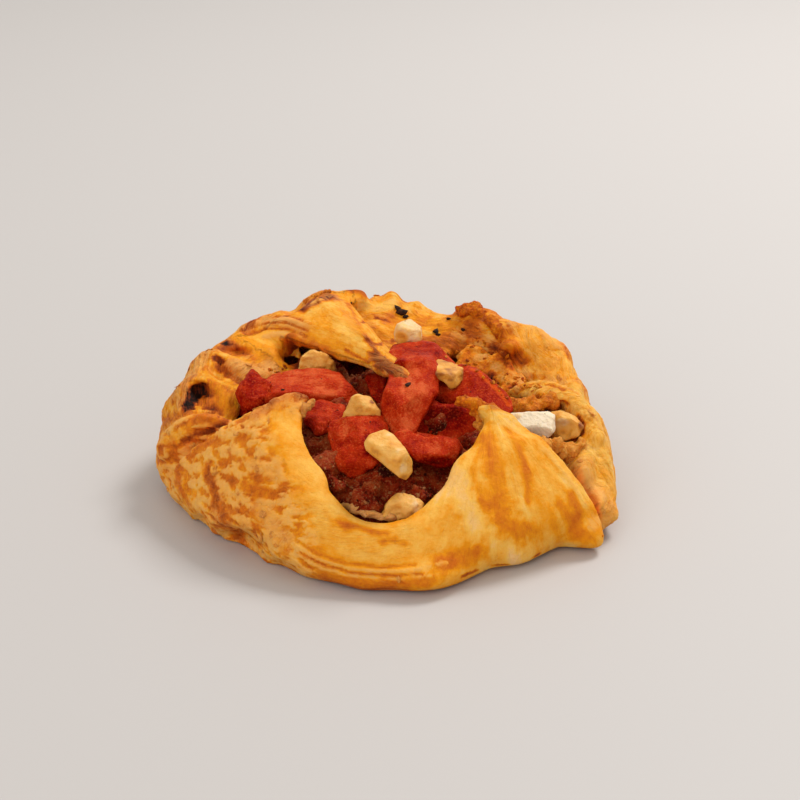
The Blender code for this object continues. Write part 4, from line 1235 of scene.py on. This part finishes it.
def open_above(tree, point, room):
    """Whether nothing lies over a point within the room."""
    return tree.ray_cast(Vector(point) + Vector((0, 0, 0.3)), Vector((0, 0, 1)), room)[0] is None


class DANISH_OT_filling(bpy.types.Operator):
    """Models the minced meat: a grainy core with loose grains on it"""

    bl_idname = "danish.filling"
    bl_label = "Minced meat"

    def execute(self, context):
        settings = context.scene.danish_filling
        mince = closed_copy("mince", "filling")
        refine(mince, settings.detail, 2)
        points, normals = points_of(mince)
        top = ease(-0.2, 0.3, normals[:, 2])
        lumps = wave(points, 4.5, 40, 2)
        relief = 0.9 * lumps + 0.5 * wave(points, 1.5, 41, 3)
        set_points(mince, points + normals * (relief * top)[:, None])
        # Painted light: the tint rises where the lumps stand up, towards the meat that the light catches.
        store(mince, "tint", toned(mince, points, 0.36 + 0.4 * lumps + 0.2 * wave(points, 3.0, 42, 2)))
        material = minced_meat(settings)
        mince.data.materials.append(material)
        finish(mince, "minced_meat", "filling")

        others = tree_of(*(node for name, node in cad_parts.items() if name != "filling"))
        dice = random.Random(43)
        points, normals = points_of(mince)
        upper = [int(index) for index in np.flatnonzero(normals[:, 2] > 0.1)]
        places = []
        while len(places) < settings.grains:
            index = dice.choice(upper)
            if not open_above(others, points[index], 6.0):
                continue
            size = settings.grain / MM * dice.uniform(0.25, 0.62)
            point = points[index] + 0.2 * size * normals[index]
            places.append((point, normals[index], size, dice.uniform(0.6, 1.0)))
        grains = scatter("mince_grains", lump_shapes(6, 44, 0.5), places, 45)
        grains.data.materials.append(material)
        finish(grains, "minced_meat")
        return {"FINISHED"}


# ---------------------------------------------------------------- tomato and cheese


def own_axes(points):
    """A piece's middle and its long, middle and short directions."""
    middle = points.mean(0)
    _, directions = np.linalg.eigh(np.cov((points - middle).T))
    return middle, directions[:, ::-1]


def place_topping(name, topping, detail, soften):
    """A topping's fine mesh: each of its parts fitted to its outline and cut, and all melted into one."""
    parts = []
    for part in topping.parts:
        piece = closed_copy(name, part.node)
        refine(piece, detail, 2)
        points, _ = points_of(piece)
        set_points(piece, fit_outline(points, part))
        cut(piece, part.cuts)
        parts.append(piece)
    only(parts[0])
    for piece in parts:
        piece.select_set(True)
    if len(parts) > 1:
        bpy.ops.object.join()
    piece = parts[0]
    refine(piece, detail, soften)
    nudge(piece, TOPPING_NUDGES.get(name, {}))
    return piece


def toned(piece, points, tone):
    """The tone at each point, with the piece's spots laid over it."""
    tree = tree_of(piece)
    for pixel, half, value in SPOTS.get(piece.name, {}).values():
        share = share_near(points, seen_at(tree, pixel)[0], half)
        tone = tone + ease(0.0, 0.6, share) * (value - tone)
    return tone


class DANISH_OT_tomato(bpy.types.Operator):
    """Models each piece of cooked tomato, with fibres, folds and skin at its edge"""

    bl_idname = "danish.tomato"
    bl_label = "Tomato"

    def execute(self, context):
        settings = context.scene.danish_tomato
        material = cooked_tomato(settings)
        for number, (name, topping) in enumerate(TOMATOES.items()):
            piece = place_topping(name, topping, settings.detail, 2)
            points, normals = points_of(piece)
            middle, axes = own_axes(points)
            stroke = ((points - middle) @ axes) / (4.5, 1.3, 1.3) + number * 7.0
            relief = 0.4 * wave(points, 5, 60 + number, 3) + 0.1 * wave(stroke, 1.0, 50 + number, 2)
            relief += topping.rough * (0.6 * wave(points, 2.6, 80 + number, 3))
            # Painted shade: faces that point down are toned a deeper red.
            low = 0.4 * ease(0.1, -0.7, normals[:, 2])
            tone = topping.tone + low + 0.15 * wave(points, 5, 95 + number, 2)
            store(piece, "tone", np.clip(toned(piece, points, tone), 0, 1))
            skin = np.zeros(len(points))
            if name == "tomato_wedge":
                tree = tree_of(piece)
                edge = distance_to(points, np.array([seen_at(tree, pixel)[0] for pixel in SKIN_EDGE]))
                skin = ease(0.9, 0.4, edge + 0.4 * wave(points, 1.5, 98))
            store(piece, "skin", skin)
            store(piece, "stroke", stroke)
            set_points(piece, points + normals * relief[:, None])
            piece.data.materials.append(material)
            finish(piece, "cooked_tomato", *sorted({part.node for part in topping.parts}))
        return {"FINISHED"}


class DANISH_OT_cheese(bpy.types.Operator):
    """Models each crumbly cube of cheese, with toasted corners"""

    bl_idname = "danish.cheese"
    bl_label = "Cheese"

    def execute(self, context):
        settings = context.scene.danish_cheese
        material = toasted_cheese(settings)
        for number, (name, topping) in enumerate(CHEESES.items()):
            piece = place_topping(name, topping, settings.detail, 1)
            points, normals = points_of(piece)
            relief = 0.3 * wave(points, 3.0, 100 + number, 2) + 0.2 * wave(points, 1.0, 110 + number, 3)
            relief = relief * (0.3 + topping.rough)
            away = np.linalg.norm(points - points.mean(0), axis=1)
            corner = ease(0.75, 1.0, away / away.max()) * ease(-0.3, 0.3, normals[:, 2])
            foot = ease(0.4, 0.0, (points[:, 2] - points[:, 2].min()) / np.ptp(points[:, 2]))
            tone = topping.tone * (1 + 0.4 * corner + 0.6 * wave(points, 2.6, 120 + number, 2)) + 0.3 * foot
            store(piece, "tone", np.clip(toned(piece, points, tone), 0, 1))
            set_points(piece, points + normals * relief[:, None])
            piece.data.materials.append(material)
            finish(piece, "white_cheese", *(part.node for part in topping.parts))
        return {"FINISHED"}


# ---------------------------------------------------------------- crumbs, lumps and flakes

# Burnt crumbs: the pixel where each lies and its radius in millimetres.
BURNT_CRUMBS = {
    "by_the_back_cube": ((401, 313), 1.4),
    "beside_it": ((397, 308), 0.8),
    "below_it": ((405, 317), 0.8),
    "wall_middle": ((436, 332), 0.9),
    "wall_middle_low": ((438, 335), 0.6),
    "wall_upper": ((449, 319), 0.55),
    "wall_right": ((463, 330), 0.7),
    "blob_upper": ((481, 316), 0.5),
    "blob_side": ((495, 330), 0.6),
    "flap_speck": ((351, 303), 0.35),
    "curl_speck": ((547, 411), 0.4),
    "left_slab_speck": ((283, 390), 0.4),
    "strip_crumb": ((408, 385), 0.7),
}
# Rough lumps of baked dough: the pixels that they run along, each lump's radius in millimetres, how brown
# and how dry they are, and the height of their relief in millimetres. A third number of a pixel is the
# place's y in millimetres. Without it the place is on the surface.
Lumps = namedtuple("Lumps", "pixels radius bake flake relief", defaults=(0.1, 0.35))
LUMPS = {
    "right_tip": Lumps(
        ((499, 416, -19.5), (492, 412, -20), (483, 409, -20), (474, 405, -19.5), (466, 402, -19),
         (460, 400, -18.5)),
        1.5, 0.64, 0.1, 0.3,
    ),
    "right_tip_low": Lumps(
        ((496, 422, -21), (489, 418, -21.3), (481, 413, -21), (472, 408, -20)), 1.9, 0.6, 0.2, 0.3
    ),
    "right_tip_foot": Lumps(((488, 430, -22), (483, 426, -22), (478, 420, -21.5)), 1.7, 0.44, 0.4),
    "left_tip_pale": Lumps(((301, 411, -21), (306, 407, -21), (310, 405, -20.5)), 1.3, 0.24, 0.9),
    "slice_shelf": Lumps(
        ((543, 444, -24), (556, 449, -21.5), (570, 450, -19), (586, 444, -17)), 1.9, 0.34, 0.4, 0.34
    ),
    "pocket_floor": Lumps(((302, 359, 21), (314, 357, 22), (332, 361, 22)), 1.1, 0.66, 0.2, 0.3),
    "rim_first": Lumps(((460, 314), (468, 310), (478, 309), (485, 315)), 1.9, 0.66, 0.1, 0.24),
    "rim_second": Lumps(((489, 317), (495, 324), (499, 332)), 1.9, 0.62, 0.1, 0.24),
    "hump_ridge": Lumps(((306, 302), (317, 296), (329, 292)), 0.8, 0.62, 0.4),
    "curl_inside": Lumps(
        ((514, 410, -5), (524, 407, -4), (536, 405, -3), (552, 405, -3)), 2.1, 0.56, 0.3, 0.34
    ),
    "cream_lip": Lumps(((345, 506), (356, 510), (368, 513), (382, 516), (397, 517)), 1.2, 0.04, 0.35, 0.24),
    "low_corner": Lumps(((603, 536), (606, 534)), 0.5, 0.7, 0.1),
}
# The torn slope between the back right wall and the tomato, by pairs of places, above and below, each a
# pixel and its y in millimetres.
SLOPE = (
    ((462, 350, 31), (458, 378, 22)),
    ((480, 353, 30), (478, 384, 20)),
    ((497, 359, 25), (494, 396, 15)),
    ((512, 368, 22), (507, 406, 10)),
    ((524, 379, 18), (518, 414, 5)),
)
# Where loose crumbs lie thick: the pixels along it, how far it spreads in pixels, how many there are and
# how brown they are.
CRUMB_FIELDS = {
    "wall_foot": (((446, 354), (470, 362), (494, 382), (510, 396)), 5, 30, 0.66),
    "wall_upper": (((470, 340), (490, 352), (516, 362)), 9, 16, 0.6),
    "curl_foot": (((500, 372), (524, 384), (540, 392)), 6, 24, 0.5),
    "left_pocket": (((262, 372), (300, 370)), 4, 10, 0.6),
}


class DANISH_OT_crumbs(bpy.types.Operator):
    """Adds burnt crumbs and pepper, the torn slope, rough lumps and loose flakes of crust"""

    bl_idname = "danish.crumbs"
    bl_label = "Crumbs"

    def execute(self, context):
        settings = context.scene.danish_crumbs
        crust = bpy.data.objects["crust"]
        toppings = [bpy.data.objects[name] for name in (*TOMATOES, *CHEESES)]
        slope = self.add_slope()
        tree = tree_of(crust, bpy.data.objects["mince"], slope, *toppings)
        self.add_burnt(settings, tree, toppings)
        self.add_lumps(tree)
        self.add_crumbs(tree)
        self.add_flakes(settings, crust)
        return {"FINISHED"}

    def as_crust(self, piece, bake, flake, rough=0.5):
        """Gives a piece the crust's material and what the material reads."""
        points, _ = points_of(piece)
        store(piece, "bake", np.clip(bake + 0.2 * wave(points, 1.6, 170, 2), 0, 1))
        # Painted shade: each of these small pieces gets the same share of the crust's hollow tint.
        for name, value in (("flake", flake), ("rough", rough), ("hollow", 0.4)):
            store(piece, name, value + np.zeros(len(points)))
        store(piece, "stroke", points / 0.7)
        piece.data.materials.append(bpy.data.materials["baked_crust"])
        finish(piece, "baked_dough")

    def add_burnt(self, settings, tree, toppings):
        """Lays the burnt crumbs at their pixels, and strews fine pepper over the toppings."""
        places = []
        for pixel, radius in BURNT_CRUMBS.values():
            point, normal = seen_at(tree, pixel)
            places.append((point + 0.3 * radius * normal, normal, radius, 0.7))
        dice = random.Random(130)
        for thing in toppings:
            points, normals = points_of(thing)
            upper = [int(index) for index in np.flatnonzero(normals[:, 2] > 0.5)]
            for _ in range(6 if thing.name in TOMATOES else 1):
                index = dice.choice(upper)
                places.append((points[index], normals[index], dice.uniform(0.1, 0.24), 0.8))
        crumbs = scatter("burnt_crumbs", lump_shapes(4, 131, 0.6), places, 132)
        crumbs.data.materials.append(burnt_crumb(settings))
        finish(crumbs, "baked_dough")

    def melted(self, name, places, seed, detail, relief):
        """Melts balls at the places into one rough mass. Where its relief is low, it is smoothed more."""
        mass = scatter(name, lump_shapes(4, 181, 0.5, 2), places, seed)
        refine(mass, detail * MM, 4 if relief > 0.25 else 26)
        points, normals = points_of(mass)
        set_points(mass, points + normals * (relief * wave(points, 1.3, seed + 8, 3))[:, None])
        return mass

    def add_slope(self):
        """Models the torn slope, with a paler and drier web across it."""
        dice = random.Random(175)
        ribs = [[np.array(at_depth(place)) for place in rib] for rib in SLOPE]
        places = []
        for (top, foot), (next_top, next_foot) in zip(ribs[:-1], ribs[1:]):
            for _ in range(44):
                along, down = dice.random(), dice.random()
                upper, lower = top + along * (next_top - top), foot + along * (next_foot - foot)
                point = upper + down * (lower - upper) + [dice.uniform(-0.4, 0.4) for _ in range(3)]
                places.append((point, -AHEAD, dice.uniform(1.2, 2.2), 0.8))
        slope = self.melted("torn_slope", places, 176, 0.42, 0.16)
        points, _ = points_of(slope)
        line = np.array([0.7 * top + 0.3 * foot for top, foot in ribs[1:]])
        web = ease(3.2, 0.8, distance_to(points, line) + 1.6 * wave(points, 2.2, 177, 3))
        bake = 0.5 + 0.4 * wave(points, 5, 178, 2)
        self.as_crust(slope, bake + web * (0.16 - bake), 0.02 + 0.7 * web, 0.3)
        return slope

    def add_lumps(self, tree):
        """Models each run of rough lumps."""
        dice = random.Random(180)
        for number, (name, lumps) in enumerate(LUMPS.items()):
            spots = []
            for pixel in lumps.pixels:
                spots.append((np.array(at_depth(pixel)), -AHEAD) if len(pixel) > 2 else seen_at(tree, pixel))
            places = []
            uneven = min(lumps.relief / 0.35, 1)
            for (start, normal), (end, _) in zip(spots[:-1], spots[1:]):
                for share in np.linspace(0, 1, 6)[:-1]:
                    stray = [dice.uniform(-0.5, 0.5) * lumps.radius * uneven for _ in range(3)]
                    size = lumps.radius * (1 + uneven * dice.uniform(-0.4, 0.1))
                    places.append((start + share * (end - start) + stray, normal, size, 0.8))
            mass = self.melted(name, places, 182 + number, 0.32, lumps.relief)
            self.as_crust(mass, lumps.bake - 0.06, lumps.flake, 0.5)

    def add_crumbs(self, tree):
        """Strews loose crumbs along their pixels."""
        dice = random.Random(200)
        places, browns = [], []
        for pixels, spread, count, brown in CRUMB_FIELDS.values():
            for _ in range(count):
                stretch = dice.randrange(len(pixels) - 1)
                share = dice.random()
                pixel = [
                    start + share * (end - start) + dice.gauss(0, 0.5 * spread)
                    for start, end in zip(pixels[stretch], pixels[stretch + 1])
                ]
                point, normal = seen_at(tree, pixel)
                places.append((point, normal, dice.uniform(0.25, 0.75), dice.uniform(0.4, 0.9)))
                browns.append(brown + dice.uniform(-0.25, 0.15))
        shapes = lump_shapes(5, 201, 0.6)
        crumbs = scatter("loose_crumbs", shapes, places, 202)
        self.as_crust(crumbs, np.repeat(browns, len(shapes[0][0])), 0.1)

    def add_flakes(self, settings, crust):
        """Strews thin loose flakes over the flaky parts of the crust."""
        shapes = []
        for number in range(5):
            bpy.ops.object.select_all(action="DESELECT")
            bpy.ops.mesh.primitive_grid_add(x_subdivisions=6, y_subdivisions=5, size=2)
            leaf = bpy.context.object
            corners = np.array([vertex.co for vertex in leaf.data.vertices])
            square = np.abs(corners).max(1)
            round_off = np.where(square > 0, square / np.maximum(np.linalg.norm(corners, axis=1), 1e-6), 1)
            edge = 1 + 0.7 * wave(corners, 0.6, 140 + number)
            corners = corners * (round_off * edge)[:, None] * (1.0, 0.62, 1.0)
            corners[:, 2] = 0.1 * corners[:, 0] ** 2 + 0.1 * wave(corners, 0.9, 150 + number)
            leaf.data.vertices.foreach_set("co", corners.ravel())
            thick = leaf.modifiers.new("thick", "SOLIDIFY")
            thick.thickness = 0.12
            apply_all(leaf)
            corners = np.array([vertex.co for vertex in leaf.data.vertices])
            shapes.append((corners, [tuple(face.vertices) for face in leaf.data.polygons]))
            bpy.data.objects.remove(leaf)
        points, normals = points_of(crust)
        flaky = np.empty(len(points))
        crust.data.attributes["flake"].data.foreach_get("value", flaky)
        open_flakes = (flaky > 0.45) & (points[:, 2] > 3) & (normals[:, 2] > -0.3)
        picks = [int(index) for index in np.flatnonzero(open_flakes)]
        dice = random.Random(160)
        places = []
        for _ in range(settings.flakes):
            index = dice.choice(picks)
            lean = Vector(normals[index]) + Vector([dice.uniform(-0.35, 0.35) for _ in range(3)])
            places.append((points[index], lean.normalized(), dice.uniform(0.5, 1.3), 0.8))
        flakes = scatter("loose_flakes", shapes, places, 161)
        tint = np.empty(len(flakes.data.vertices))
        flakes.data.attributes["tint"].data.foreach_get("value", tint)
        self.as_crust(flakes, 0.42 + 0.2 * tint, 0.55 + 0.3 * tint, 0.3)


# ---------------------------------------------------------------- stage


class DANISH_OT_stage(bpy.types.Operator):
    """Adds the pale floor, the soft lights and the camera"""

    bl_idname = "danish.stage"
    bl_label = "Stage"

    def execute(self, context):
        settings = context.scene.danish_stage
        scene = context.scene
        bpy.ops.object.select_all(action="DESELECT")
        bpy.ops.mesh.primitive_plane_add(size=FLOOR_SIZE)
        floor = context.object
        floor.name = "floor"
        # A matte, pale surface, so that the light comes back softly from below.
        material, tree, shader = new_material("pale_floor")
        connect(tree, shader, {"Base Color": settings.floor, "Roughness": 0.6})
        floor.data.materials.append(material)
        for name, (place, size) in LIGHTS.items():
            bpy.ops.object.light_add(type="AREA", location=place)
            light = context.object
            light.name = name
            light.data.size = size
            light.data.energy = getattr(settings, name)
            light.rotation_euler = Vector(place).to_track_quat("Z", "Y").to_euler()
        world = bpy.data.worlds.new("studio")
        world.use_nodes = True
        sky = {"Color": colour("#FFFCF6"), "Strength": settings.ambient}
        connect(world.node_tree, world.node_tree.nodes["Background"], sky)
        scene.world = world
        turn = (math.pi / 2 - CAMERA_DOWN, 0, 0)
        bpy.ops.object.camera_add(location=Vector(CAMERA_PLACE) * MM, rotation=turn)
        scene.camera = context.object
        scene.camera.data.lens = CAMERA_LENS
        scene.camera.data.sensor_width = CAMERA_SENSOR
        scene.camera.data.clip_start = 0.01
        scene.view_settings.view_transform = "Standard"
        return {"FINISHED"}


# ---------------------------------------------------------------- add-on

SETTINGS = {
    "danish_crust": CrustSettings,
    "danish_filling": FillingSettings,
    "danish_tomato": TomatoSettings,
    "danish_cheese": CheeseSettings,
    "danish_crumbs": CrumbSettings,
    "danish_stage": StageSettings,
}
OPERATORS = (
    DANISH_OT_stage,
    DANISH_OT_crust,
    DANISH_OT_filling,
    DANISH_OT_tomato,
    DANISH_OT_cheese,
    DANISH_OT_crumbs,
)


class DANISH_PT_panel(bpy.types.Panel):
    """Lists the steps that finish the danish, with their settings"""

    bl_idname = "DANISH_PT_panel"
    bl_label = "Savoury danish"
    bl_space_type = "VIEW_3D"
    bl_region_type = "UI"
    bl_category = "Danish"

    def draw(self, context):
        for operator in OPERATORS:
            self.layout.operator(operator.bl_idname)
        for name, group in SETTINGS.items():
            box = self.layout.box()
            for setting in group.__annotations__:
                box.prop(getattr(context.scene, name), setting)


def register():
    for group in SETTINGS.values():
        bpy.utils.register_class(group)
    for name, group in SETTINGS.items():
        setattr(bpy.types.Scene, name, PointerProperty(type=group))
    for operator in OPERATORS:
        bpy.utils.register_class(operator)
    bpy.utils.register_class(DANISH_PT_panel)


def unregister():
    bpy.utils.unregister_class(DANISH_PT_panel)
    for operator in reversed(OPERATORS):
        bpy.utils.unregister_class(operator)
    for name in SETTINGS:
        delattr(bpy.types.Scene, name)
    for group in SETTINGS.values():
        bpy.utils.unregister_class(group)


def main():
    register()
    bpy.ops.danish.stage()
    bpy.ops.danish.crust()
    bpy.ops.danish.filling()
    bpy.ops.danish.tomato()
    bpy.ops.danish.cheese()
    bpy.ops.danish.crumbs()


if __name__ == "__main__":
    main()
